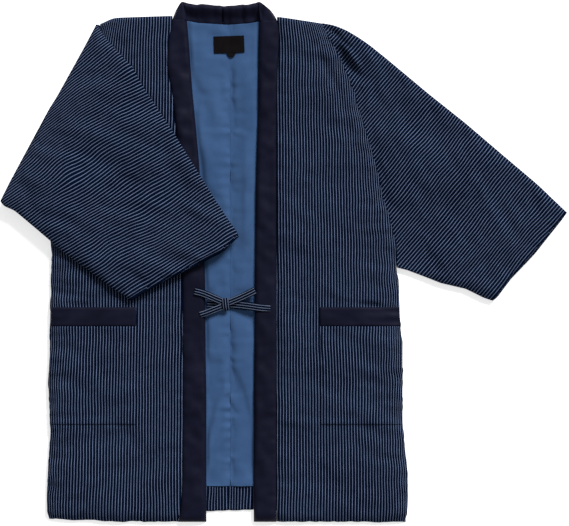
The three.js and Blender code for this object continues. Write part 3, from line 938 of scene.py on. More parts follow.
@dataclass(frozen=True)
class Settling:
    """Cloth that is cut a little fuller than its place, and so wrinkles between its seams."""

    fuller: float
    cap: float
    spacing: float = 8.0
    frames: int = 18
    quality: int = 6
    bending: float = 0.5
    vertex_mass: float = 0.05

    def rise(self, face: np.ndarray, rows: np.ndarray, columns: np.ndarray) -> np.ndarray:
        """Simulates a face with its border sewn down.

        Args:
            face: A grid of places in millimetres.
            rows: The share of the face at each row.
            columns: The share of the face at each column.

        Returns:
            How far each point of the face rises, softly capped.
        """
        tall = np.linalg.norm(np.diff(face[:, 0, :2], axis=0), axis=1).sum()
        wide = np.linalg.norm(np.diff(face[0, :, :2], axis=0), axis=1).sum()
        row_pick = nearest(rows, int(tall / self.spacing))
        column_pick = nearest(columns, int(wide / self.spacing))
        coarse = face[np.ix_(row_pick, column_pick)]
        raised = self._simulated(coarse)[..., 2] - coarse[..., 2]
        raised = self.cap * np.tanh(raised / self.cap)
        return spread(rows[row_pick], columns[column_pick], raised, (rows, columns))

    def _simulated(self, face: np.ndarray) -> np.ndarray:
        """Runs the cloth simulation on a coarse face.

        Args:
            face: A grid of places in millimetres.

        Returns:
            The same grid, settled.
        """
        mesh = bpy.data.meshes.new("settling_cloth")
        faces = quads_of_grid(*face.shape[:2])
        mesh.from_pydata((face.reshape(-1, 3) * MM).tolist(), [], faces.tolist())
        made = bpy.data.objects.new("settling_cloth", mesh)
        bpy.context.scene.collection.objects.link(made)
        sewn = np.ones(face.shape[:2], bool)
        sewn[1:-1, 1:-1] = False
        seam = made.vertex_groups.new(name="sewn")
        seam.add([int(k) for k in np.flatnonzero(sewn)], 1.0, "REPLACE")
        cloth = made.modifiers.new("cloth", "CLOTH")
        cloth.settings.quality = self.quality
        cloth.settings.mass = self.vertex_mass
        cloth.settings.bending_stiffness = self.bending
        cloth.settings.vertex_group_mass = seam.name
        cloth.settings.shrink_min = -self.fuller
        cloth.settings.effector_weights.gravity = 0.0
        cloth.collision_settings.use_collision = False
        cloth.point_cache.frame_end = self.frames
        for moment in range(1, self.frames + 1):
            bpy.context.scene.frame_set(moment)
        shaped = made.evaluated_get(bpy.context.evaluated_depsgraph_get()).to_mesh()
        points = np.empty(face.size)
        shaped.vertices.foreach_get("co", points)
        bpy.data.objects.remove(made)
        bpy.context.scene.frame_set(1)
        return points.reshape(face.shape) / MM


# The jacket's halves


@dataclass
class Half:
    """One half of the jacket: its sections from the hem up, read by everything that is sewn to it."""

    side: Side
    shoulder: float
    lining_seam: float
    sections: list[tuple[float, float, float, float]]
    ends: list[tuple[float, float, float]]
    neckline: list[tuple[float, float]]
    troughs: list[Trough] = field(default_factory=list)
    drop_from: float = 0.7  # the share of the height where the shoulder line starts to drop
    rise_reach: float = 80.0  # how far above the hem its rise reaches
    table: Table = field(init=False)
    stray: Table = field(init=False)
    collarless: Table = field(init=False)

    def __post_init__(self) -> None:
        """Turns the short tables into readable ones."""
        self.table = Table([dict(zip(("up", "side", "seam", "lip"), row)) for row in self.sections], "up")
        self.stray = Table([dict(zip(("out", "rise", "drop"), row)) for row in self.ends], "out", 6.0)
        self.collarless = Table([dict(zip(("up", "out"), row)) for row in self.neckline], "up", 0.2)

    @property
    def fold_start(self) -> float:
        """The height where the shoulder's round starts."""
        return self.shoulder - SHOULDER_FOLD

    def place(self, up: np.ndarray, out: np.ndarray) -> tuple[np.ndarray, np.ndarray]:
        """Puts nominal heights and distances from the centre line on the laid cloth.

        Args:
            up: Nominal heights.
            out: Distances from the centre line.

        Returns:
            x and up.
        """
        near_shoulder = np.clip((up / self.fold_start - self.drop_from) / (1 - self.drop_from), 0, 1)
        near_hem = np.clip(1 - up / self.rise_reach, 0, 1)
        drop = self.stray.read("drop", out) * near_shoulder
        rise = self.stray.read("rise", out) * near_hem
        return self.side.value * out, up - drop + rise


def front_floor(up: np.ndarray) -> np.ndarray:
    """Height of the fronts' underside, which sinks to the table past the back's hem.

    Args:
        up: Heights above the hem.

    Returns:
        Heights off the table.
    """
    return FRONT_FLOOR * eased((up - SINKS_FROM) / SINKS_OVER)


def hem_fill(up: np.ndarray) -> np.ndarray:
    """How much thicker the wadding is in the fronts' hem, which keeps its top level.

    Args:
        up: Heights above the hem.

    Returns:
        Millimetres to add.
    """
    return HEM_FILL * (FRONT_FLOOR - front_floor(up))


def under_ties(up: np.ndarray) -> np.ndarray:
    """Where the bow presses on what it lies on.

    Args:
        up: Heights above the hem.

    Returns:
        1 under the ties, falling to 0 away from them.
    """
    return around(up, TIE_UP, half=20, fade=9)


RIGHT_HALF = Half(
    Side.RIGHT,
    862.0,
    -4.0,
    [
        (0, 306, 86, 37),
        (12, 308, 82, 37),
        (40, 309, 79, 37),
        (101, 306, 77, 37),
        (162, 302, 77, 37),
        (225, 306, 77, 37),
        (268, 304, 77, 38),
        (366, 303, 77, 39),
        (385, 301, 77, 39),
        (412, 303, 77, 39),
        (448, 299, 78, 41),
        (480, 303, 79, 43),
        (545, 303, 81, 46),
        (608, 303, 83, 49),
        (684, 296, 90, 56),
        (735, 272, 95, 61),
        (776, 250, 104, 64),
        (820, 232, 101, 67),
        (846, 221, 96, 69.5),
        (853.5, 219, 95, 70),
    ],
    [(100, 0, 0), (187, 1, 3), (197, 1, 4.4), (218, 2, 14), (306, 5, 14)],
    [(846, SEWN_GAP / 2), (849, 50), (852, 69), (853.5, 95.3)],
    [
        Trough(-302, 393, -232, 381, 3.4, 5),
        Trough(-280, 374, -236, 369, 2.8, 4),
        Trough(-153, 377, -76, 378, 2.0, 4),
        Trough(-300, 410, -262, 402, 1.6, 6),
        Trough(-304, 455, -262, 446, 1.8, 6),
        Trough(-280, 300, -200, 250, 1.8, 13),
        Trough(-290, 250, -225, 215, 1.6, 11),
        Trough(-240, 330, -180, 300, 1.4, 12),
        Trough(-235, 140, -160, 150, 2.2, 11),
        Trough(-190, 178, -150, 120, 1.2, 12),
        Trough(-290, 90, -230, 120, -1.4, 16),
        Trough(-115, 100, -92, 130, 1.6, 9),
        Trough(-110, 38, -84, 42, 1.4, 6),
        Trough(-205, 836, -165, 790, 1.8, 9),
        Trough(-120, 850, -112, 700, 1.0, 9),
    ],
)

LEFT_HALF = Half(
    Side.LEFT,
    860.0,
    4.0,
    [
        (0, 302, 82, 43.5),
        (25, 306, 82, 43.5),
        (77, 306, 82, 43.5),
        (118, 302, 82, 43.5),
        (167, 297, 82, 44),
        (225, 297, 82, 44),
        (302, 297, 82, 45),
        (334, 293, 82, 45),
        (366, 292, 82, 45),
        (413, 290, 82, 45.5),
        (428, 286, 82, 45.5),
        (463, 287, 82, 46),
        (509, 278, 82, 46.5),
        (553, 264, 82, 47),
        (601, 253, 82, 48),
        (649, 241, 82, 49.5),
        (701, 224, 82, 51),
        (748, 211, 83, 51),
        (792, 194, 85, 51.5),
        (822, 178, 87, 52),
        (846, 165, 86, 52.5),
        (851.5, 161.5, 83, 53),
    ],
    [(88, 0, 0), (122, 0, 5), (161.5, 0, 11), (306, 0, 11)],
    [(846, SEWN_GAP / 2), (848.3, 35), (851, 53), (851.5, 83.3)],
    [
        Trough(122, 858, 152, 800, 1.5, 7),
        Trough(152, 800, 192, 727, 2.4, 7),
        Trough(188, 735, 222, 610, 1.8, 8),
        Trough(222, 640, 258, 480, 1.5, 9),
        Trough(215, 505, 280, 512, 1.5, 5),
        Trough(225, 486, 284, 492, 1.6, 5),
        Trough(218, 466, 286, 458, 1.4, 5),
        Trough(240, 440, 288, 432, 1.6, 5),
        Trough(250, 400, 290, 412, 1.6, 6),
        Trough(219, 371.5, 262, 368.5, 5.0, 3.4),
        Trough(196, 376, 216, 374, 2.4, 2.6),
        Trough(220, 540, 262, 548, 1.1, 6),
        Trough(150, 120, 230, 150, 1.6, 12),
        Trough(180, 250, 260, 230, 1.2, 14),
        Trough(120, 300, 140, 420, 1.0, 14),
        Trough(95, 384, 150, 380, 1.0, 6),
    ],
)


@dataclass
class Piece:
    """A finished cloth piece with its solid's name, its finish, its flat size, how it is held, its area and
    what it rests on.
    """

    made: bpy.types.Object
    node: str
    finish: ClothFinish
    flat: tuple[float, float]
    held: Held
    area: float | None = None
    rests_on: tuple[str, ...] = ()

    @classmethod
    def sewn(cls, shell: ShellMaker, node: str, *facts: object) -> "Piece":
        """Makes a piece from its walls.

        Args:
            shell: The collected walls.
            node: The solid that the piece stands for.
            facts: The finish and what follows it, in the fields' order.

        Returns:
            The piece.
        """
        return cls(shell.build(f"{node}_cloth"), node, *facts)

    def declare(self, material: bpy.types.Material) -> None:
        """Gives the piece its material, puts it under the root body and hides its solid.

        Args:
            material: The finish, built.
        """
        self.made.data.materials.append(material)
        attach(self.made, "root")
        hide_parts(self.node)
        log.info("%s: %d faces", self.made.name, len(self.made.data.polygons))


@dataclass(frozen=True)
class Edge:
    """A straight edge of the folded sleeve: a place on it and its normal, turned into the sleeve."""

    x: float
    up: float
    normal_x: float
    normal_up: float
    past: float = 0.0

    def inside(self, x: np.ndarray, up: np.ndarray) -> np.ndarray:
        """How far places lie inside the edge, moved out by its past."""
        return self.normal_x * (x - self.x) + self.normal_up * (up - self.up) + self.past


FOLDED_EDGES = (
    Edge(-223, 846, -0.830, -0.557, past=7),
    Edge(-164, 377, -0.513, 0.858),
    Edge(-386, 546, 0.606, 0.796),
)


def covered(x: np.ndarray, up: np.ndarray) -> np.ndarray:
    """Share of cover by the folded sleeve, soft at its edges.

    Args:
        x: Places across.
        up: Places up.

    Returns:
        Shares from 0 to 1.
    """
    inside = np.min([edge.inside(x, up) for edge in FOLDED_EDGES], axis=0)
    return eased((inside + 3) / 8)


def layered(
    layers: tuple[Waves, ...], noise: Ripples, across: np.ndarray, along: np.ndarray | float = 0.0
) -> np.ndarray:
    """Several layers of waves together.

    Args:
        layers: The layers.
        noise: The field that they are drawn from.
        across: Places across the waves.
        along: Places along them.

    Returns:
        Heights.
    """
    return sum(layer.of(noise, across, along) for layer in layers)


def under_sleeve(height: np.ndarray, x: np.ndarray, up: np.ndarray) -> np.ndarray:
    """Keeps the front from rising into the folded sleeve.

    Args:
        height: Heights to add to the front.
        x: Places across.
        up: Places up.

    Returns:
        The heights, with none above zero under the sleeve.
    """
    hidden = covered(x, up)
    return height * (1 - hidden) + np.minimum(height, 0.0) * hidden


@dataclass
class BodyHalf:
    """A body piece: up the back, round the shoulder and down the front."""

    half: Half
    step: float = 3.6
    back_step: float = 11.0
    width: float = 226.0
    seam_round: float = 20.0
    side_share: float = 0.22
    band_share: float = 0.5
    hem_round: float = 13.0
    hem_share: float = 0.25
    least_wall: float = 1.2
    least_turn_up: float = 1.4
    side_curl: float = 2.2
    hem_curl: float = 2.0
    curl_round: float = 6.0
    turn_up_sinking: float = 3.4
    turn_up_slant: float = 2.6
    fold_turns: int = 12
    slant: float = 0.35
    undulation: Waves = Waves(1.6, 52, 44)
    straying: Waves = Waves(10, 50, 70, 30)
    fold_height: float = 1.9
    folding: Waves = Waves(1, 60, 19, 9)
    ripple_height: float = 0.8
    ripple: Waves = Waves(1, 34, 10)
    pucker_height: float = 1.3
    side_pucker: Waves = Waves(1, 9, 70, reach=24)
    seam_pucker: Waves = Waves(1, 7.5, 60, 40, reach=14)
    hem_pucker: Waves = Waves(1, 8, 50, 0, 70, reach=18)
    hem_scallops: tuple[Waves, ...] = (Waves(1.3, 14, 1, 0, 66.6), Waves(0.7, 6, 1, 0, 71.2))
    side_scallops: tuple[Waves, ...] = (Waves(1.3, 17, 1, 90, 3.3), Waves(0.7, 7, 1, 20, 8.8))
    turn_up_scallops: Waves = Waves(0.8, 9, 1, 0, 20.5)
    turn_up_puckers: Waves = Waves(0.8, 9, 30)
    turn_up_stripes: Waves = Waves(1.7, 15, 28, 50)
    broad_stripes: Waves = Waves(1.1, 95, 80, 30)
    small_stripes: Waves = Waves(0.5, 40, 34, 5)
    side_stripes: Waves = Waves(1.2, 46, 24, 5, reach=70)
    puckered_stripes: Waves = Waves(2.0, 22, 30, 60)
    gathering: float = 8.0
    settling: Settling = Settling(fuller=0.012, cap=3.6)

    def __post_init__(self) -> None:
        """Draws this half's noise."""
        self.risen: tuple[np.ndarray, np.ndarray, np.ndarray] | None = None
        seed = 11 if self.half.side is Side.RIGHT else 23
        self.broad = Ripples(seed)
        self.fine = Ripples(seed + 1)
        self.puckers = Ripples(seed + 2)
        self.shares = steps(self.width, self.step)

    def settle(self) -> None:
        """Lets the padded front wrinkle between its seams."""
        rows = np.linspace(1.0, self.half.fold_start, int(self.half.fold_start / self.settling.spacing))
        columns = np.linspace(0, 1, 30)
        self.risen = rows, columns, self.settling.rise(self.front(rows, columns), rows, columns)

    def relief(
        self, x: np.ndarray, up: np.ndarray, from_side: np.ndarray, from_seam: np.ndarray
    ) -> np.ndarray:
        """Soft height changes of the padded front.

        Args:
            x: Places across.
            up: Places up.
            from_side: Distances from the side seam.
            from_seam: Distances from the band's seam.

        Returns:
            Heights to add.
        """
        leaning = up + self.slant * self.half.side.value * x
        bent = leaning + self.straying.of(self.fine, x, up)
        busy = 0.55 + 0.9 * fading(from_side, 70)
        free = self.undulation.of(self.broad, x, leaning)
        free = free + self.fold_height * busy * self.folding.of(self.broad, x, bent)
        free = free + self.ripple_height * busy * self.ripple.of(self.fine, x, up)
        side = self.side_pucker.of(self.puckers, up, from_side, away=from_side)
        seam = self.seam_pucker.of(self.puckers, up, from_seam, away=from_seam)
        hem = self.hem_pucker.of(self.puckers, x, up, away=up)
        free = free + self.pucker_height * (1.5 * side + 0.9 * seam + 0.9 * hem)
        return under_sleeve(free - sunk(self.half.troughs, x, up), x, up)

    def front(self, ups: np.ndarray, shares: np.ndarray) -> np.ndarray:
        """The upper face of the front.

        Args:
            ups: Nominal heights, one for each row.
            shares: Shares of the width from side to band.

        Returns:
            A grid of places.
        """
        up = ups[:, None]
        side = self.half.table.read("side", up)
        seam = self.half.table.read("seam", up) + 2 * SEWN_GAP
        wobble = self.side_wobble(up)
        out = side + wobble + (seam - side - wobble) * shares[None, :]
        x, height = self.half.place(up, out)
        height = height + layered(self.hem_scallops, self.puckers, x) * fading(up, 9)
        from_side, from_seam = side + wobble - out, out - seam
        edge = swell(from_side, self.seam_round, self.side_share)
        edge = edge * swell(from_seam, self.seam_round, self.band_share)
        edge = edge * swell(up + 0 * out, self.hem_round, self.hem_share)
        free = np.clip(from_side / 3, 0, 1) * np.clip(from_seam / 3 + 0.3, 0, 1) * np.clip(up / 4, 0.1, 1)
        wall = PADDED_WALL * edge + self.relief(x, height, from_side, from_seam) * free
        if self.risen is not None:
            rise = spread(*self.risen, (ups, shares)) * (0.45 + 0.75 * fading(from_side, 80))
            wall = wall + under_sleeve(rise, x, height)
        wall = np.maximum(wall, self.least_wall)
        return stacked(x, height, front_floor(up) + wall + hem_fill(up) * edge)

    def side_wobble(self, up: np.ndarray) -> np.ndarray:
        """How far the side edge strays from its table, which makes it softly scalloped."""
        return layered(self.side_scallops, self.puckers, up)

    def side_line(self, low: float, high: float) -> list[tuple[float, float]]:
        """The laid side edge.

        Args:
            low: The nominal height that it starts at.
            high: Where it ends.

        Returns:
            Places as (x, up), from the lowest.
        """
        ups = np.arange(low, high, 3.0)
        out = self.half.table.read("side", ups) + self.side_wobble(ups)
        x, height = self.half.place(ups, out)
        return list(zip(x, height))

    def cut_places(self, points: np.ndarray) -> np.ndarray:
        """Where points of the laid cloth lie on the cut one.

        Args:
            points: Places on the laid cloth.

        Returns:
            Places across and along the stripes.
        """
        x, up = points[..., 0], points[..., 1]
        widening = 1.035 - 0.055 * (1 - up / 862)
        way = self.half.side.value
        from_side = np.maximum(self.half.table.read("side", up) - way * x, 0)
        less_at_shoulder = 1 - 0.7 * np.clip((up - 700) / 100, 0, 1)
        gathered = way * self.gathering * fading(from_side, 15) * less_at_shoulder
        warp = self.broad_stripes.of(self.broad, x, up) + self.small_stripes.of(self.fine, x, up)
        warp = warp + self.side_stripes.of(self.fine, x, up, away=from_side)
        beside = self.puckered_stripes.of(self.puckers, up, from_side) + self.armhole_bend(up)
        return np.stack([x * widening + warp + fading(from_side, 30) * beside + gathered, up], axis=-1)

    def armhole_bend(self, up: np.ndarray) -> np.ndarray:
        """How far stripes beside the armhole lean towards its line.

        Args:
            up: Places up.

        Returns:
            Millimetres across the stripes.
        """
        at_armhole = np.clip((up - 560) / 290, 0, 1)
        at_shoulder = np.clip((up - 780) / 70, 0, 1)
        return self.half.side.value * (13.0 * at_armhole + 11.0 * at_shoulder**2)

    def back(self, ups: np.ndarray) -> tuple[np.ndarray, np.ndarray]:
        """The two faces of the back, with its hem turned up inside.

        Args:
            ups: Nominal heights, one for each row.

        Returns:
            The face on the table and the one inside the jacket.
        """
        up = ups[:, None]
        inner_edge = self.half.collarless.read("out", np.maximum(up, NECK_SEAM))
        side = self.half.table.read("side", up)
        out = side + (inner_edge - side) * self.shares[None, :]
        x, height = self.half.place(up, out)
        curl = self.side_curl * (1 - swell(side - out, self.curl_round, 0))
        curl = curl + self.hem_curl * (1 - swell(up - BACK_HEM + 0 * out, self.curl_round, 0))
        turned_up = up < TURN_UP_TOP - GAP
        top = np.where(turned_up, LINING_TOP, BACK_WALL) - np.where(up < BACK_HEM + 1, self.side_curl, 0)
        between_bands = np.clip((54 - np.abs(x)) / 10, 0, 1) * turned_up
        sinking = self.turn_up_sinking * np.clip((TURN_UP_TOP - up) / 34, 0, 1)
        lower = self.turn_up_slant * np.clip((36 - x) / 70, 0, 1) + self.turn_up_scallops.of(self.puckers, x)
        height = height - between_bands * lower * fading(up - BACK_HEM, 16)
        top = top + between_bands * (self.turn_up_puckers.of(self.puckers, x, height) + 0.5 - sinking)
        return stacked(x, height, curl), stacked(x, height, np.maximum(top, curl + self.least_turn_up))

    def fold(self, curl: np.ndarray) -> tuple[np.ndarray, np.ndarray]:
        """The two faces of the fold at the shoulder.

        Args:
            curl: The height of the back's last row off the table.

        Returns:
            The outer face and the one inside the jacket.
        """
        first = self.front(np.array([self.half.fold_start]), self.shares)[0]
        turns = np.radians(np.linspace(-90, 90, self.fold_turns + 2)[1:-1])[:, None]
        raised, reach = (1 + np.sin(turns)) / 2, np.cos(turns)
        slit = FRONT_FLOOR - BACK_WALL
        x, up, top = first.T
        outer = stacked(x, up + SHOULDER_FOLD * reach, top * raised + curl * (1 - raised))
        return outer, stacked(x, up + slit / 2 * reach, BACK_WALL + slit * raised)

    def build(self) -> Piece:
        """Makes the piece.

        Returns:
            The body half.
        """
        half = self.half
        hem_rows = BACK_HEM + np.array([0, 1.2, 4, 9, 16, 23, 30, 36, 38.6, 39.4, 40.0])
        back_rows = np.arange(TURN_UP_TOP + self.back_step, NECK_SEAM - 4, self.back_step)
        neck_rows = np.array([up for up, _ in half.neckline])
        back_under, back_inside = self.back(np.concatenate([hem_rows, back_rows, neck_rows]))
        fold_outer, fold_inner = self.fold(back_under[-1, :, 2])
        rows = half.fold_start * steps(half.fold_start, self.step, start=0.7, end=3.0)[::-1]
        front_top = self.front(rows, self.shares)
        lift = 1.4 * (1 - swell(np.minimum(self._from_edges(front_top), 5.0), 5, 0))
        front_under = stacked(front_top[..., 0], front_top[..., 1], front_floor(rows[:, None]) + lift)
        outer = np.concatenate([back_under, fold_outer, front_top])
        inner = np.concatenate([back_inside, fold_inner, front_under])
        cut = self.cut_places(outer)
        count = len(hem_rows)
        cut[:count, :, 0] += self.turn_up_stripes.of(self.puckers, outer[:count, :, 0], hem_rows[:, None])
        shell = ShellMaker()
        shell.wall(outer, inner, cut)
        area = sheet_area(back_under) + sheet_area(front_top)
        return Piece.sewn(shell, f"body_{half.side.word}", STRIPED_COTTON, (0.309, 1.74), Held.FOLDED, area)

    @staticmethod
    def _from_edges(grid: np.ndarray) -> np.ndarray:
        """Rough distances of a grid's points from its side and hem."""
        from_side = np.abs(grid[..., 0] - grid[:, :1, 0])
        return np.minimum(from_side, grid[..., 1] - grid[-1:, :, 1])


@dataclass
class LiningHalf:
    """Half of the back's lining, softly full beside its puckered seam."""

    half: Half
    neck: list[tuple[float, float, float, float, float, float]]
    bulge: float = 2.8
    least_wall: float = 0.35
    valley: float = 2.4
    valley_wide: float = 6.0
    valley_depth: Waves = Waves(0.8, 30, 1, 0, 55.5)
    pucker: Waves = Waves(2.0, 8.5, 45, reach=11)
    folds: tuple[Waves, ...] = (
        Waves(2.0, 17, 75, 40, 3),
        Waves(0.9, 30, 33, 0, 60),
        Waves(0.25, 50, 9, 20, 10),
    )
    label_half: tuple[float, float] = (28.0, 16.0)
    settling: Settling = Settling(fuller=0.014, cap=1.8, spacing=5.0)

    def build(self) -> Piece:
        """Makes the piece.

        Returns:
            The lining half.
        """
        half = self.half
        noise = Ripples(31 + half.side.value)
        bottom = TURN_UP_TOP + GAP
        ups = bottom + (NECK_SEAM - bottom) * steps(785.0, 3.0, 1.0, 1.0)
        up = ups[:, None]
        lip, side = half.table.read("lip", up), half.table.read("side", up)
        seam = half.lining_seam + SEWN_GAP / 2
        shown_end = lip + 4
        hidden_shares = np.array([1.0, 0.6, 0.3, 0.1, 0.0])[None, :]
        shown_shares = steps(45.0, 1.9, 0.4, 0.9)[::-1][None, 1:]
        far = shown_end + (side - 6 - shown_end) * hidden_shares
        near = seam + (shown_end - seam) * shown_shares
        out = np.concatenate([far, near], axis=1)
        x, height = half.place(up, out)
        neck_edge = np.array(self.neck[:3:-1], float)
        neck_rise = np.interp(out, neck_edge[:, 0], neck_edge[:, 1]) - NECK_SEAM - GAP / 2
        height = height + neck_rise * np.clip((up - 800) / 46, 0, 1)
        from_seam, from_lip = out - seam, np.maximum(lip - out, 0)
        free = np.clip(from_lip / 6, 0, 1)
        full = np.sin(np.pi * np.clip(from_lip / np.maximum(lip - seam, 1), 0, 1)) ** 0.7
        crimp = bell(height - 700, 90) + 1.2 * bell(height - 160, 120) + 0.35
        puckers = self.pucker.of(noise, height, from_seam, away=from_seam) * crimp
        folds = layered(self.folds, noise, x, height)
        wide, tall = self.label_half
        under_label = around(height, LABEL_UP, tall, 8) * around(x, 0, wide, 8)
        pressed = np.maximum(under_label, under_ties(height))
        depth = np.clip(0.8 + self.valley_depth.of(noise, height), 0.3, 1.5)
        valley = self.valley * bell(from_seam, self.valley_wide) * depth
        shows = free * (1 - 0.8 * pressed)
        top = LINING_TOP + self.bulge * full * free * (1 - 0.65 * pressed)
        top = top + shows * (folds - valley + puckers)
        columns = np.linspace(0, 1, out.shape[1])
        top = top + shows * self.settling.rise(stacked(x, height, top), ups / NECK_SEAM, columns)
        upper = stacked(x, height, np.maximum(top, LINING_FLOOR + self.least_wall))
        shell = ShellMaker()
        shell.wall(upper, stacked(x, height, LINING_FLOOR), upper[..., :2])
        area = sheet_area(upper)
        return Piece.sewn(shell, f"lining_{half.side.word}", BLUE_COTTON, (0.31, 0.79), Held.LAID, area)


@dataclass
class CollarHalf:
    """A half's band, folded over at the shoulder into half of the neck."""

    half: Half
    neck: list[tuple[float, float, float, float, float, float]]
    band_width: float = 39.0
    neck_width: float = 34.0
    lip_round: float = 8.0
    seam_round: float = 9.0
    hem_round: float = 11.0
    lip_lift: float = 1.3
    corner_loss: float = 0.6
    neck_valley: float = 2.6
    soft: tuple[Waves, ...] = (Waves(1.8, 22, 40), Waves(1.2, 18, 16, 0, 30))
    seam_pucker: Waves = Waves(1.2, 7.5, 40, 0, 5, reach=8)
    lip_pucker: Waves = Waves(0.7, 6.5, 40, 30, 9, reach=7)
    neck_edge: Waves = Waves(1.3, 11, 1, 0, 3.3)
    neck_soft: Waves = Waves(2.6, 8, 30)
    neck_folds: Waves = Waves(2.4, 8, 24, reach=11)
    settling: Settling = Settling(fuller=0.012, cap=1.8, spacing=5.5)

    def band(self, shell: ShellMaker) -> float:
        """Adds the band down the front.

        Args:
            shell: Collects the walls.

        Returns:
            Its area in square metres.
        """
        half = self.half
        noise = Ripples(47 + half.side.value)
        length = half.fold_start + 1.5
        rows = steps(length, 3.2, 0.7, 2.0)
        columns = steps(self.band_width, 2.4, 0.5, 0.5)
        up = length * rows[:, None]
        lip = half.table.read("lip", np.minimum(up, half.fold_start))
        seam = half.table.read("seam", np.minimum(up, half.fold_start))
        out = lip + (seam - lip) * columns[None, :]
        from_lip, from_seam = out - lip, seam - out
        edge = swell(from_lip, self.lip_round, 0.2) * swell(from_seam, self.seam_round, 0.5)
        edge = edge * swell(up + 0 * out, self.hem_round, 0.25)
        soft = layered(self.soft, noise, out, up)
        soft = soft + self.seam_pucker.of(noise, up, out, away=from_seam)
        soft = soft + self.lip_pucker.of(noise, up, out, away=from_lip)
        at_corner = np.clip((up - length + 16) / 16, 0, 1)
        free = np.clip(edge * 1.5 - 0.4, 0, 1) * (1 - 0.8 * under_ties(up)) * (1 - at_corner)
        wall = (BAND_WALL + hem_fill(up) - self.corner_loss * at_corner) * edge + soft * free
        x = half.side.value * out
        upper = stacked(x, up, front_floor(up) + wall)
        upper[..., 2] += self.settling.rise(upper, rows, columns) * free
        lift = self.lip_lift * (2 - swell(from_lip, 4, 0) - swell(up + 0 * out, 4, 0))
        lower = stacked(x, up, front_floor(up) + lift)
        shell.wall(upper, lower, np.stack([out, up + 0 * out], axis=-1))
        return sheet_area(upper)

    def neck_part(self, shell: ShellMaker) -> float:
        """Adds the corner and half of the neck.

        Args:
            shell: Collects the walls.

        Returns:
            Its area in square metres.
        """
        rows = np.array(self.neck, float)
        spots = np.linspace(0, len(rows) - 1, 70)
        columns = [np.interp(spots, np.arange(len(rows)), rows[:, k])[:, None] for k in range(rows.shape[1])]
        low_out, low_up, high_out, high_up, bow, top = columns
        share = steps(self.neck_width, 2.2, 0.5, 0.5)[None, :]
        from_low, from_high = share * self.neck_width, (1 - share) * self.neck_width
        out = low_out + (high_out - low_out) * share + bow * 4 * share * (1 - share)
        up = low_up + (high_up - low_up) * share
        noise = Ripples(61 + self.half.side.value)
        in_neck = np.clip((12 - top) / 2, 0, 1)
        edge = swell(from_low, 5, 0.99) * (1 - in_neck) + swell(from_low, 7, 0.72) * in_neck
        edge = edge * swell(from_high, 9, 0.25)
        from_middle = np.abs(out + self.half.side.value * 8.5)
        up = up + share**2 * self.neck_edge.of(noise, out) * np.clip(from_middle / 8, 0, 1)
        soft = self.neck_soft.of(noise, out, up) * np.clip(edge, 0, 1)
        soft = soft + self.neck_folds.of(noise, up, from_middle, away=from_middle)
        soft = soft - self.neck_valley * fading(from_middle, 3.5)
        soft = soft * (in_neck + (1 - in_neck) * np.clip(from_low / 12, 0, 1))
        lean = 1.0 + in_neck * (1.12 * eased((share - 0.2) / 0.62) - 0.45)
        z = np.maximum(top * edge * lean + soft, 1.0)
        lift = 1.5 * (1 - swell(from_high, 5, 0)) + 0 * out
        x = self.half.side.value * out
        upper, lower = stacked(x, up, z), stacked(x, up, lift)
        shell.wall(upper, lower, np.stack([out, up], axis=-1))
        return sheet_area(upper)

    def build(self) -> Piece:
        """Makes the piece.

        Returns:
            The collar half.
        """
        shell = ShellMaker()
        area = self.band(shell) + self.neck_part(shell)
        name = f"collar_{self.half.side.word}"
        return Piece.sewn(shell, name, NAVY_COTTON, (0.05, 0.98), Held.FOLDED, area)


@dataclass
class Patch:
    """A patch sewn on a front: the front's own face, moved out."""

    body: BodyHalf
    name: str
    finish: ClothFinish
    bottom: float
    top: float
    wall: float
    gape: float = 0.0
    share: float = 0.65
    wide: float = 146.0
    edge_round: float = 4.0
    soft: Waves = Waves(0.5, 24, 30)
    pucker: Waves = Waves(0.3, 8, 60, reach=9)

    def build(self) -> Piece:
        """Makes the piece.

        Returns:
            The patch.
        """
        tall = self.top - self.bottom
        ups = self.bottom + tall * steps(tall, 3.0, 0.4, 0.4)
        base = self.body.front(ups, self.share * steps(self.wide, 3.2, 0.4, 0.4))
        x, up, height = (base[..., k] for k in range(3))
        from_bottom, from_top = up - up[:1], up[-1:] - up
        from_side, from_inner = np.abs(x - x[:, :1]), np.abs(x - x[:, -1:])
        level = np.minimum(from_bottom, from_top)
        edge = swell(np.minimum(level, np.minimum(from_inner, from_side)), self.edge_round, 0.15)
        noise = Ripples(83 + self.body.half.side.value)
        soft = self.soft.of(noise, x, up) + self.pucker.of(noise, x, up, away=from_bottom)
        opening = self.gape * fading(from_top, 9) * np.sin(np.pi * np.clip((from_inner - 8) / 110, 0, 1))
        inside = np.clip(np.minimum(level, from_inner) / 10, 0, 1)
        floor = height + GAP + opening
        upper = stacked(x, up, floor + self.wall * edge + soft * inside)
        shell = ShellMaker()
        shell.wall(upper, stacked(x, up, floor), self.body.cut_places(upper))
        flat = (round(self.wide * MM, 3), round(tall * MM, 3))
        front = f"body_{self.body.half.side.word}"
        return Piece.sewn(shell, self.name, self.finish, flat, Held.LAID, None, (front,))


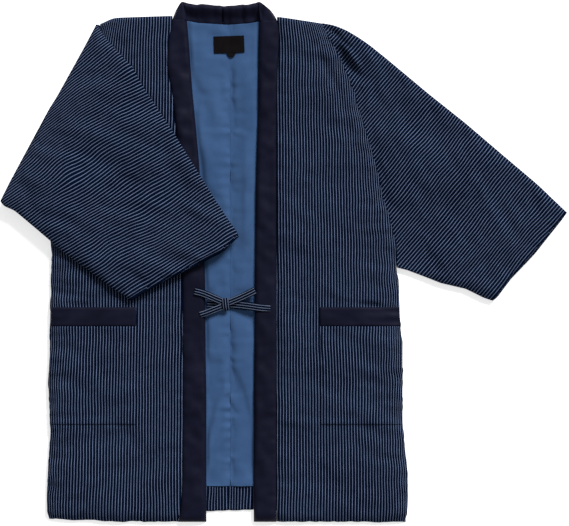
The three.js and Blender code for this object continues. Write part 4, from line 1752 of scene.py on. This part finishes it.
@dataclass
class Sleeve:
    """A sleeve laid flat: a flattened tube between four outline lines."""

    name: str
    floor: float
    top_fold: list[tuple[float, float]]
    underarm: list[tuple[float, float]]
    body_end: list[tuple[float, float]]
    cuff: list[tuple[float, float]]
    stripe_turn: float
    held: Held
    body_share: float
    shut: bool
    seed: int
    troughs: list[Trough]
    wall: float = 8.1
    step: float = 4.2
    slit: float = 1.0
    cuff_slit: float = 2.4
    undulation: float = 1.6
    folding: float = 2.2
    sag: float = 0.0
    fold_turn: float = 0.0
    stray: float = 5.5
    # turned: the width of the cuff's turned edge, which gets a groove in the cloth and a band of painted shade
    # without pale lines
    turned: float = 5.0
    dips: list[Trough] = field(default_factory=list)
    settling: Settling = Settling(fuller=0.012, cap=3.6)
    tucked: list[tuple[float, float]] | None = None

    def __post_init__(self) -> None:
        """Reads the outline and draws the noise."""
        if self.tucked is not None:
            seam = [(x + GAP, up) for x, up in self.tucked]
            self.body_end = [self.top_fold[0], *seam, self.underarm[0]]
        self.lines = {
            "fold": Line(self.top_fold),
            "underarm": Line(self.underarm),
            "body": Line(self.body_end, 0 if self.tucked else 3),
            "cuff": Line(self.cuff),
        }
        self.noise = Ripples(self.seed)
        self.small = Ripples(self.seed + 1)

    def place(self, along: np.ndarray, across: np.ndarray) -> np.ndarray:
        """Places in the outline.

        Args:
            along: Shares from body to cuff, one for each row.
            across: Shares from top fold to underarm, one for each column.

        Returns:
            A grid of (x, up).
        """
        u, v = along[:, None, None], across[None, :, None]
        fold, underarm = (self.lines[name].at(along)[:, None, :] for name in ("fold", "underarm"))
        body, cuff = (self.lines[name].at(across)[None, :, :] for name in ("body", "cuff"))
        body_chord = body[:, :1] * (1 - v) + body[:, -1:] * v
        cuff_chord = cuff[:, :1] * (1 - v) + cuff[:, -1:] * v
        sides = fold * (1 - v) + underarm * v
        return sides + body * (1 - u) + cuff * u - body_chord * (1 - u) - cuff_chord * u

    def relief(
        self, x: np.ndarray, up: np.ndarray, to_cuff: np.ndarray, from_underarm: np.ndarray
    ) -> np.ndarray:
        """Soft height changes of the upper layer.

        Args:
            x: Places across.
            up: Places up.
            to_cuff: Distances from the cuff.
            from_underarm: Distances from the underarm seam.

        Returns:
            Heights to add.
        """
        with_stripe, off_stripe = turned_axes(x, up, self.stripe_turn)
        with_fold, off_fold = turned_axes(x, up, self.fold_turn)
        bent = off_fold + 9 * self.noise.at(with_fold / 60 + 80, off_fold / 90)
        broad = self.undulation * self.noise.at(with_fold / 80, off_fold / 44)
        broad = broad + self.folding * self.noise.at(with_fold / 70 + 20, bent / 18 + 7)
        ripple = 0.3 * self.small.at(with_stripe / 16, off_stripe / 14)
        seam = 1.1 * self.small.at(with_stripe / 9 + 50, from_underarm / 60) * np.exp(-from_underarm / 18)
        cuff = 0.8 * self.small.at(with_stripe / 9, to_cuff / 40 + 50) * np.exp(-to_cuff / 14)
        return broad + ripple + seam + cuff - sunk(self.troughs, x, up)

    def cut_places(self, grid: np.ndarray) -> np.ndarray:
        """Where points of the laid sleeve lie on the cut one.

        Args:
            grid: Places, x and up first.

        Returns:
            Places across and along the stripes.
        """
        x, up = grid[..., 0], grid[..., 1]
        along, off = turned_axes(x, up, self.stripe_turn)
        middling = 0.42 * self.noise.at(along / 36 + 11, off / 55)
        warp = self.stray * (self.noise.at(along / 85 + 60, off / 100) + middling)
        warp = warp + 0.4 * self.small.at(along / 18 + 21, off / 16)
        return np.stack([off + warp + self.lean(x, up), along], axis=-1)

    def lean(self, x: np.ndarray, up: np.ndarray) -> np.ndarray:
        """How far the stripes stray by design. A plain sleeve's run straight."""
        return np.zeros(np.broadcast(x, up).shape)

    def build(self) -> Piece:
        """Makes the piece.

        Returns:
            The sleeve.
        """
        shell = ShellMaker()
        area = 2 * self.main(shell)
        flat = self.cut_size()
        return Piece(shell.build(self.name + "_cloth"), self.name, STRIPED_COTTON, flat, self.held, area)

    def cut_size(self) -> tuple[float, float]:
        """The cut's width all round and its length, in metres."""
        wide = 2 * max(self.lines["body"].length, self.lines["cuff"].length)
        long = max(self.lines["fold"].length, self.lines["underarm"].length)
        return round(wide * MM, 3), round(long * MM, 3)

    def lifted(self, x: np.ndarray) -> np.ndarray:
        """How far the underside rises over a band that it lies on."""
        if self.floor < FRONT_TOP:
            return np.zeros(x.shape)
        return 1.4 * np.clip((x + 106) / 8, 0, 1) * (1 - np.clip((x + 34) / 10, 0, 1))

    def main(self, shell: ShellMaker) -> float:
        """Adds the flattened tube.

        Args:
            shell: Collects the walls.

        Returns:
            The area of its outline in square metres.
        """
        along = steps(self.lines["fold"].length, self.step, 0.9, 0.6)
        upper_across = steps(self.lines["body"].length * 0.8, self.step, 0.8, 0.8)
        flat_place = self.place(along, upper_across)
        x, up = flat_place[..., 0], flat_place[..., 1]
        from_fold = np.hypot(x - x[:, :1], up - up[:, :1])
        from_underarm = np.hypot(x - x[:, -1:], up - up[:, -1:])
        to_cuff = np.hypot(x - x[-1:], up - up[-1:])
        from_body = np.hypot(x - x[:1], up - up[:1])
        middle = self.floor + self.wall
        sideways = swell(from_fold, 20, 0) * swell(from_underarm, 17, 0)
        ends = swell(to_cuff, 7, 0.45) * swell(from_body, 20, self.body_share)
        rim = 0.9 * np.exp(-(((to_cuff - 9) / 4) ** 2)) - 1.3 * np.exp(-(((to_cuff - 22) / 5) ** 2))
        rim = rim - 1.4 * np.exp(-(((to_cuff - self.turned) / 1.3) ** 2))
        relief = self.relief(x, up, to_cuff, from_underarm) + rim - self.sag * np.exp(-from_body / 55)
        settle = np.clip(sideways * 1.3 - 0.3, 0, 1) * np.clip(to_cuff / 4, 0.2, 1)
        if self.shut:
            settle = settle * np.clip(from_body / 14, 0, 1)
        height = 0.4 + (self.wall - 0.4) * sideways * ends + relief * settle
        height = np.maximum(height, 0.4 + self.slit * sideways)
        dip = np.minimum(sunk(self.dips, x, up), 6.6) * np.clip(from_fold / 8, 0, 1)
        rise = self.settling.rise(stacked(x, up, middle - dip + height), along, upper_across)
        height = np.maximum(height + rise * settle, 0.4 + self.slit * sideways)
        count = x.shape[1]
        lower_pick = np.unique(np.round(np.linspace(1, count - 2, count // 3)).astype(int))[::-1]
        under = swell(from_fold, 9, 0) * swell(from_underarm, 9, 0) * swell(to_cuff, 5, 0.45)
        under_height = -0.4 - (self.wall - 0.4) * under + self.lifted(x)
        upper = stacked(x, up, middle - dip + height)
        lower = stacked(x, up, middle + under_height)
        ring = np.concatenate([upper, lower[:, lower_pick]], axis=1)
        ring[:, 0, 2] = middle
        ring[:, count - 1, 2] = middle
        inset = (self.place(along, 0.025 + 0.95 * upper_across) if not self.shut
                 else self.place(0.012 + 0.988 * along, 0.025 + 0.95 * upper_across))
        near_cuff = np.exp(-to_cuff / 9)
        open_half = (self.slit + (self.cuff_slit - self.slit) * near_cuff) / 2 * (0.08 + 0.92 * sideways)
        within_top = stacked(inset[..., 0], inset[..., 1], middle - dip + open_half)
        within_low = stacked(inset[..., 0], inset[..., 1], middle - dip - open_half)
        inner = np.concatenate([within_top, within_low[:, lower_pick]], axis=1)
        cut = self.cut_places(ring)
        # Painted shade: within the turned width of the cuff the stripe places are snapped to whole pitches, so
        # the pale lines drop out and a dark band stands for the shadow along the cuff's turned edge.
        plain = np.linalg.norm(ring[..., :2] - ring[-1:, :, :2], axis=-1) < self.turned
        cut[..., 0] = np.where(plain, STRIPE_PITCH * np.round(cut[..., 0] / STRIPE_PITCH), cut[..., 0])
        shell.tube(ring, inner, cut, self.shut)
        return sheet_area(upper)


@dataclass
class FoldedSleeve(Sleeve):
    """The sleeve folded over the front, with the layers of its body end down to the table."""

    def build(self) -> Piece:
        """Makes the piece.

        Returns:
            The sleeve with its under layers.
        """
        shell = ShellMaker()
        area = 2 * self.main(shell) + self.under_layers(shell)
        return Piece.sewn(shell, self.name, STRIPED_COTTON, self.cut_size(), self.held, area)

    def lean(self, x: np.ndarray, up: np.ndarray) -> np.ndarray:
        """How far the stripes stray: steeper beside the fold at the shoulder, flatter in the middle.

        Args:
            x: Places across.
            up: Places up.

        Returns:
            Millimetres across the stripes.
        """
        from_fold = np.maximum(0.879 * (x + 223) - 0.477 * (up - 846), 0)
        middle = np.clip((from_fold - 60) / 180, 0, 1)
        return 15 * np.exp(-from_fold / 42) + 9 * middle * middle * (3 - 2 * middle)

    def under_layers(self, shell: ShellMaker) -> float:
        """Adds the layers beside the body, under the fold.

        Args:
            shell: Collects the walls.

        Returns:
            Their area in square metres.
        """
        edge = np.concatenate([self.lines["underarm"].points[::-1], self.lines["body"].points[::-1][1:]])
        edge = edge[(edge[:, 0] < -219) & (edge[:, 1] > 482)]
        order = np.argsort(edge[:, 1])
        edge = edge[order]
        corner = self.body_end[-1][1]
        ups = np.linspace(483, 845.5, 110)
        up = ups[:, None]
        outer_x = np.interp(ups, edge[:, 1], edge[:, 0])[:, None]
        seam = np.array(BodyHalf(RIGHT_HALF).side_line(440, 860))
        inner_x = np.interp(ups, seam[:, 1], seam[:, 0])[:, None] - GAP
        outer_x = np.minimum(outer_x, inner_x - 1.5)
        shares = steps(100.0, 6.0, 0.8, 3.0)[None, :]
        x = outer_x + (inner_x - outer_x) * shares
        from_edge = x - outer_x
        fold_side = np.clip((up - corner) / 12, 0, 1)
        top_seam = 8.0 + 6.6 * swell(from_edge, 9, 0)
        top_fold = self.floor + self.wall - 1.0
        top = top_seam * (1 - fold_side) + top_fold * fold_side + 0 * x
        bottom = np.where(fold_side > 0.5, 9.0, 5.0) * (1 - swell(from_edge, 13, 0))
        upper = stacked(x, up, top)
        lower = stacked(x, up, bottom)
        shell.wall(upper, lower, self.cut_places(upper))
        return sheet_area(upper)


SLEEVE_RIGHT = FoldedSleeve(
    name="sleeve_right",
    floor=16.9,
    top_fold=[
        (-223, 846), (-209, 825), (-185, 798), (-161.5, 773), (-143, 739), (-95, 667), (-21, 548),
        (6, 507), (15, 495.5), (18.5, 486),
    ],
    underarm=[
        (-386, 546), (-380, 538), (-362, 530), (-345, 516), (-302.6, 480), (-277, 457),
        (-240.6, 432.6), (-202, 402), (-176, 386), (-164, 377),
    ],
    body_end=[(-223, 846), (-272, 752), (-304, 701), (-319.6, 667), (-368, 582), (-386, 546)],
    cuff=[
        (18.5, 486), (-9, 459), (-32, 448), (-63, 431), (-92.5, 417), (-122, 402), (-153, 384),
        (-164, 377),
    ],
    stripe_turn=30.9,
    held=Held.FOLDED,
    body_share=0.0,
    shut=True,
    seed=101,
    troughs=[
        Trough(-268, 748, -205, 762, 2.0, 9),
        Trough(-250, 775, -200, 800, 1.6, 8),
        Trough(-312, 690, -190, 690, 1.8, 13),
        Trough(-330, 640, -235, 600, 2.2, 12),
        Trough(-235, 600, -170, 615, 1.8, 12),
        Trough(-200, 560, -80, 600, 1.4, 16),
        Trough(-300, 560, -210, 520, 1.6, 14),
        Trough(-150, 480, -60, 540, 1.2, 16),
        Trough(-120, 640, -60, 560, 1.4, 13),
    ],
    fold_turn=-18.0,
    stray=4.2,
)

SLEEVE_LEFT = Sleeve(
    name="sleeve_left",
    floor=0.0,
    top_fold=[
        (161, 849.5), (180, 846.3), (200.6, 838), (221, 826), (240, 813), (265, 793), (291.5, 771),
        (343, 728), (404.6, 679), (466, 626.5), (528, 574), (577, 527),
    ],
    underarm=[(287, 433.5), (306, 428.6), (334, 418), (362, 407), (404.6, 397), (435, 382), (450, 377)],
    body_end=[
        (161.8, 849.5), (174.8, 822), (194.8, 783), (211.8, 741), (224.8, 696), (241.8, 647),
        (253.8, 600), (264.8, 553), (278.8, 509), (287.6, 463), (287.4, 433.5),
    ],
    cuff=[(577, 527), (568, 515), (544, 485), (522, 457), (481, 414), (458, 383), (450, 377)],
    stripe_turn=49.7,
    held=Held.LAID,
    body_share=0.35,
    shut=False,
    seed=131,
    troughs=[
        Trough(184, 812, 203, 774, 8.0, 9),
        Trough(202, 780, 228, 752, 7.0, 7.5),
        Trough(208, 768, 222, 728, 5.0, 7),
        Trough(170, 839, 190, 826, 6.5, 5),
        Trough(196, 800, 214, 764, 5.0, 5),
        Trough(186, 826, 210, 806, 3.5, 4),
        Trough(197, 809, 223, 775, -6.2, 6.5),
        Trough(230, 800, 262, 770, -1.2, 10),
        Trough(226, 700, 242, 660, 2.6, 9),
        Trough(246, 650, 268, 560, 2.0, 9),
        Trough(270, 545, 300, 470, 2.4, 10),
        Trough(300, 440, 340, 480, 1.8, 12),
        Trough(330, 560, 420, 500, 1.6, 18),
        Trough(300, 700, 400, 620, 1.4, 20),
        Trough(440, 560, 520, 520, 1.3, 18),
    ],
    fold_turn=-60.0,
    folding=1.6,
    sag=6.5,
    dips=[
        Trough(184, 810, 203, 775, 7.0, 9),
        Trough(202, 780, 226, 755, 6.0, 7.5),
        Trough(170, 838, 188, 828, 3.0, 4.5),
    ],
    stray=3.2,
    tucked=BodyHalf(LEFT_HALF).side_line(437, 858)[::-1],
)


# Ties, label


@dataclass
class Strand:
    """A flat sewn tube along a line of places, with its width and thickness at each."""

    rows: list[tuple[float, float, float, float, float]]
    ring: int = 20
    step: float = 1.6
    off_stripe: float = 2.3

    def add(self, shell: ShellMaker) -> float:
        """Adds the strand.

        Args:
            shell: Collects the walls.

        Returns:
            Its length in millimetres.
        """
        rows = np.array(self.rows, float)
        run = run_along(rows[:, :3])
        count = max(8, int(run[-1] / self.step))
        end = np.linspace(0, run[-1], count)
        fine = np.stack([np.interp(end, run, column) for column in rows.T], axis=1)
        for _ in range(14):
            fine[1:-1] = (fine[:-2] + 2 * fine[1:-1] + fine[2:]) / 4
        path, wide, thick = fine[:, :3], fine[:, 3], fine[:, 4]
        ahead = np.gradient(path, axis=0)
        across = np.stack([-ahead[:, 1], ahead[:, 0], 0 * ahead[:, 0]], axis=1)
        across /= np.linalg.norm(across, axis=1, keepdims=True)
        turns = np.linspace(0, 2 * np.pi, self.ring, endpoint=False)
        sideways = np.sign(np.cos(turns)) * np.abs(np.cos(turns)) ** 0.55
        lift = np.sign(np.sin(turns)) * np.abs(np.sin(turns)) ** 0.8
        taper = np.minimum(swell(end, 1.2, 0.3), swell(run[-1] - end, 1.2, 0.3))[:, None]
        offset = sideways[None, :, None] * across[:, None, :] * (wide[:, None] / 2)[..., None]
        rings = path[:, None, :] + offset
        noise = Ripples(211)
        wave = 0.25 * noise.at(end[:, None] / 7, sideways[None, :] * 1.5 + 9)
        rings[..., 2] += lift[None, :] * (thick[:, None] / 2) * taper + wave * (lift[None, :] > 0) * taper
        across_cut = sideways[None, :] * wide[:, None] / 2 + self.off_stripe
        cut = np.stack(np.broadcast_arrays(across_cut, end[:, None]), axis=-1)
        caps = [np.repeat(rings[k].mean(axis=0)[None, None, :], self.ring, axis=1) for k in (0, -1)]
        grid = np.concatenate([caps[0], rings, caps[1]])
        cut = np.concatenate([cut[:1], cut, cut[-1:]])
        faces = quads_of_grid(len(grid), self.ring, looped=True)
        shell.keep([grid], [faces], [cut])
        return float(run[-1])


@dataclass
class Ties:
    """The two ties and their knot in front."""

    width: float = 0.0126
    right: list[tuple[float, float, float, float, float]] = field(default_factory=lambda: [
        (-36, 372, 12.3, 11, 2.2),
        (-20, 371.5, 12.1, 11.5, 2.2),
        (10, 371, 12.1, 14, 2.4),
        (20, 370, 14.6, 16.5, 2.6),
        (34, 368.5, 18.6, 15.5, 2.6),
        (44, 367, 20.0, 14, 2.4),
        (58, 365, 19.9, 11.5, 2.4),
        (72, 364, 19.2, 9, 2.0),
    ])
    left: list[list[tuple[float, float, float, float, float]]] = field(default_factory=lambda: [
        [
            (46, 394.5, 19.6, 13, 2.4),
            (36, 389.5, 19.2, 13, 2.4),
            (18, 381, 18.0, 12, 2.4),
            (-2, 373, 17.6, 10, 2.4),
        ],
        [
            (-57, 393.5, 19.8, 13.5, 2.6),
            (-46, 391, 19.9, 13.5, 2.6),
            (-34, 386.5, 19.4, 12.5, 2.6),
            (-20, 380, 18.4, 12, 2.6),
            (-5, 374.5, 18.0, 10, 2.6),
        ],
        [
            (-48, 353, 19.4, 9.5, 2.4),
            (-37, 356.5, 19.4, 10, 2.4),
            (-22, 362.5, 18.0, 10.5, 2.4),
            (-5, 369, 17.6, 9, 2.4),
        ],
    ])
    knot: list[tuple[float, float, float, float, float]] = field(default_factory=lambda: [
        (-2.5, 360.5, 17.4, 9, 4),
        (-3.2, 363.5, 18.2, 12.5, 7.4),
        (-4, 371, 18.8, 14, 9.4),
        (-4.6, 378.5, 18.4, 13, 7.6),
        (-5, 381.5, 17.8, 10, 4),
    ])

    def build(self) -> list[Piece]:
        """Makes both ties.

        Returns:
            The right tie and the left one with the knot.
        """
        pieces = []
        bands = ("collar_right", "collar_left")
        for name, strands in (("tie_right", [self.right]), ("tie_left", [*self.left, self.knot])):
            shell = ShellMaker()
            length = sum(Strand(rows).add(shell) for rows in strands)
            flat = (self.width, round(length * MM, 3))
            pieces.append(Piece.sewn(shell, name, TIE_COTTON, flat, Held.LAID, None, bands))
        return pieces


@dataclass
class NeckLabel:
    """The blank woven label and its half-round tab."""

    x: float = 1.5
    up: float = 813.0
    width: float = 52.0
    height: float = 29.0
    turn: float = 2.0
    floor: float = 10.4
    thick: float = 0.7
    tab_radius: float = 7.5
    tab_tuck: float = 4.5

    def build(self) -> list[Piece]:
        """Makes both pieces.

        Returns:
            The label and the tab.
        """
        across = steps(self.width, 1.6, 0.3, 0.3)[None, :] * self.width - self.width / 2
        along = steps(self.height, 1.6, 0.3, 0.3)[:, None] * self.height - self.height / 2
        from_edge = np.minimum(self.width / 2 - np.abs(across), self.height / 2 - np.abs(along))
        noise = Ripples(301)
        soft = 0.3 * noise.at(across / 13, along / 11) - 0.5 * np.exp(-((across / 5) ** 2))
        z = self.floor + soft + self.thick * swell(from_edge, 0.9, 0.2)
        hem = -0.22 * np.exp(-(((from_edge - 2.2) / 0.5) ** 2))
        label = self._wall("label", across, along, z + hem, self.floor + soft - 0.1, (0.052, 0.029), None)
        wide = self.tab_radius
        share = np.linspace(-1, 1, 25)[None, :]
        depth = np.linspace(0, 1, 15)[:, None]
        bottom = -np.sqrt(np.maximum(1 - share**2, 0.0)) * self.tab_radius
        tab_up = -self.height / 2 + self.tab_tuck + depth * (bottom - self.tab_tuck)
        tab_x = share * wide * np.ones_like(depth) + 3.0
        tab_floor = self.floor - 0.9 + 0.9 * depth + 0 * share
        thick = 0.5 * swell(np.minimum(1 - np.abs(share), 1 - depth) * wide, 1.0, 0.25)
        area = (math.pi / 2 * self.tab_radius**2 + 2 * self.tab_radius * self.tab_tuck) * MM * MM
        tab = self._wall("size_tab", tab_x, tab_up, tab_floor + thick, tab_floor, (0.015, 0.012), area)
        return [label, tab]

    def _wall(
        self,
        name: str,
        across: np.ndarray,
        along: np.ndarray,
        top: np.ndarray,
        bottom: np.ndarray,
        flat: tuple[float, float],
        area: float | None,
    ) -> Piece:
        """Turns a flat grid about the label's middle and makes its wall."""
        across, along = np.broadcast_arrays(across, along)
        turn = math.radians(self.turn)
        x = self.x + across * math.cos(turn) - along * math.sin(turn)
        up = self.up + across * math.sin(turn) + along * math.cos(turn)
        shell = ShellMaker()
        shell.wall(stacked(x, up, top), stacked(x, up, bottom), np.stack([across, along], axis=-1))
        return Piece(shell.build(name + "_cloth"), name, BLACK_SATIN, flat, Held.LAID, area, ("lining_left",))


# Studio


@dataclass(frozen=True)
class Studio:
    """A pale floor, soft light and the camera straight above."""

    lens: float = 150.0
    sensor: float = 36.0
    photo_middle: tuple[float, float] = (0.0004, -0.0018)
    floor_size: float = 40.0
    key_height: float = 38.0
    key_bearing: float = 30.0
    key_spread: float = 22.0
    key_strength: float = 3.9
    ambient: float = 0.33
    floor_glow: float = 0.58

    def build(self) -> None:
        """Makes the floor, the lights and the camera."""
        bpy.ops.object.select_all(action="DESELECT")
        bpy.ops.mesh.primitive_grid_add(x_subdivisions=8, y_subdivisions=8, size=self.floor_size)
        floor = bpy.context.active_object
        floor.name = "studio_floor"
        floor.data.transform(floor.matrix_world)
        floor.data.materials.append(self._floor_material())
        self._key()
        world = bpy.data.worlds.new("studio_air")
        bpy.context.scene.world = world
        world.use_nodes = True
        world.node_tree.nodes["Background"].inputs["Color"].default_value = (1.0, 1.0, 1.0, 1.0)
        world.node_tree.nodes["Background"].inputs["Strength"].default_value = self.ambient
        data = bpy.data.cameras.new("camera")
        data.lens, data.sensor_width = self.lens, self.sensor
        camera = bpy.data.objects.new("camera", data)
        high = PIXEL * PHOTO_WIDTH * MM * self.lens / self.sensor + 0.014
        camera.location = (*self.photo_middle, high)
        data.clip_end = 4 * high
        bpy.context.scene.collection.objects.link(camera)
        bpy.context.scene.camera = camera
        bpy.context.scene.view_settings.view_transform = "Standard"

    def _key(self) -> None:
        """Adds a soft light from beyond the collar, even over the whole garment."""
        data = bpy.data.lights.new("key_light", "SUN")
        data.angle, data.energy = math.radians(self.key_spread), self.key_strength
        height, bearing = math.radians(self.key_height), math.radians(self.key_bearing)
        flat = math.cos(height)
        place = Vector((flat * math.sin(bearing), flat * math.cos(bearing), math.sin(height)))
        light = bpy.data.objects.new("key_light", data)
        light.location = 3 * place
        light.rotation_mode = "QUATERNION"
        light.rotation_quaternion = (-place).to_track_quat("-Z", "Y")
        bpy.context.scene.collection.objects.link(light)

    def _floor_material(self) -> bpy.types.Material:
        """A pale matt paper with a little unevenness."""
        material = bpy.data.materials.new("studio_paper")
        material.use_nodes = True
        table = NodeTable(material.node_tree)
        shader = material.node_tree.nodes["Principled BSDF"]
        place = table.node("ShaderNodeTexCoord").outputs["Object"]
        noise = table.node("ShaderNodeTexNoise", {"Vector": place, "Scale": 3.0})
        colour = table.blend(noise.outputs["Fac"], (0.93, 0.93, 0.93, 1.0), (0.95, 0.95, 0.95, 1.0))
        table.feed(shader.inputs["Base Color"], colour)
        shader.inputs["Roughness"].default_value = 0.9
        shader.inputs["Specular IOR Level"].default_value = 0.0
        shader.inputs["Emission Color"].default_value = (1.0, 1.0, 1.0, 1.0)
        shader.inputs["Emission Strength"].default_value = self.floor_glow
        return material


NECK_RIGHT = [
    (95.5, 854.2, 79.8, 885.4, 1.7, 9),
    (91, 854.2, 79, 885.6, 1.2, 16.6),
    (78, 854.2, 77.8, 885.6, 0, 17.4),
    (71.5, 854.1, 76.8, 885.6, 0, 16.4),
    (69.8, 853.2, 75.3, 885.3, 0, 9.4),
    (50, 849.5, 55, 882.6, 0, 10.2),
    (25, 848, 27, 880.4, 0, 10.2),
    (8.55, 847, 8.55, 879.2, 0, 9.8),
]
NECK_LEFT = [
    (83.5, 852.4, 54.4, 885.2, 5.3, 9),
    (79, 852.4, 53.5, 885.6, 4, 16.6),
    (62, 852.4, 52.5, 886, 1, 17.4),
    (55, 852.4, 51.5, 886, 0, 16.4),
    (53.3, 852.2, 49.8, 885.8, 0, 9.4),
    (35, 849, 35, 883, 0, 10.2),
    (12, 847.4, 12, 880.6, 0, 10.2),
    (-8.45, 847, -8.45, 879.2, 0, 9.8),
]


def main() -> None:
    """Builds the jacket and the studio."""
    logging.basicConfig(level=logging.INFO, format="%(name)s %(message)s")
    groups = ClothGroups()
    pieces: list[Piece] = []
    for half, neck in ((RIGHT_HALF, NECK_RIGHT), (LEFT_HALF, NECK_LEFT)):
        body = BodyHalf(half)
        body.settle()
        word = half.side.word
        pieces.append(body.build())
        pieces.append(LiningHalf(half, neck).build())
        pieces.append(CollarHalf(half, neck).build())
        low, high = POCKET_BAND_BOTTOM - GAP / 2, POCKET_BAND_BOTTOM + GAP / 2
        pieces.append(Patch(body, f"pocket_{word}", STRIPED_COTTON, POCKET_BOTTOM, low, 2.0).build())
        band = Patch(body, f"pocket_band_{word}", NAVY_COTTON, high, POCKET_BAND_TOP, 2.8, gape=1.5)
        pieces.append(band.build())
    pieces.append(SLEEVE_RIGHT.build())
    pieces.append(SLEEVE_LEFT.build())
    pieces.extend(Ties().build())
    pieces.extend(NeckLabel().build())
    materials: dict[str, bpy.types.Material] = {}
    for piece in pieces:
        if piece.finish.name not in materials:
            materials[piece.finish.name] = piece.finish.build(groups)
        piece.declare(materials[piece.finish.name])
    Studio().build()


if __name__ == "__main__":
    main()
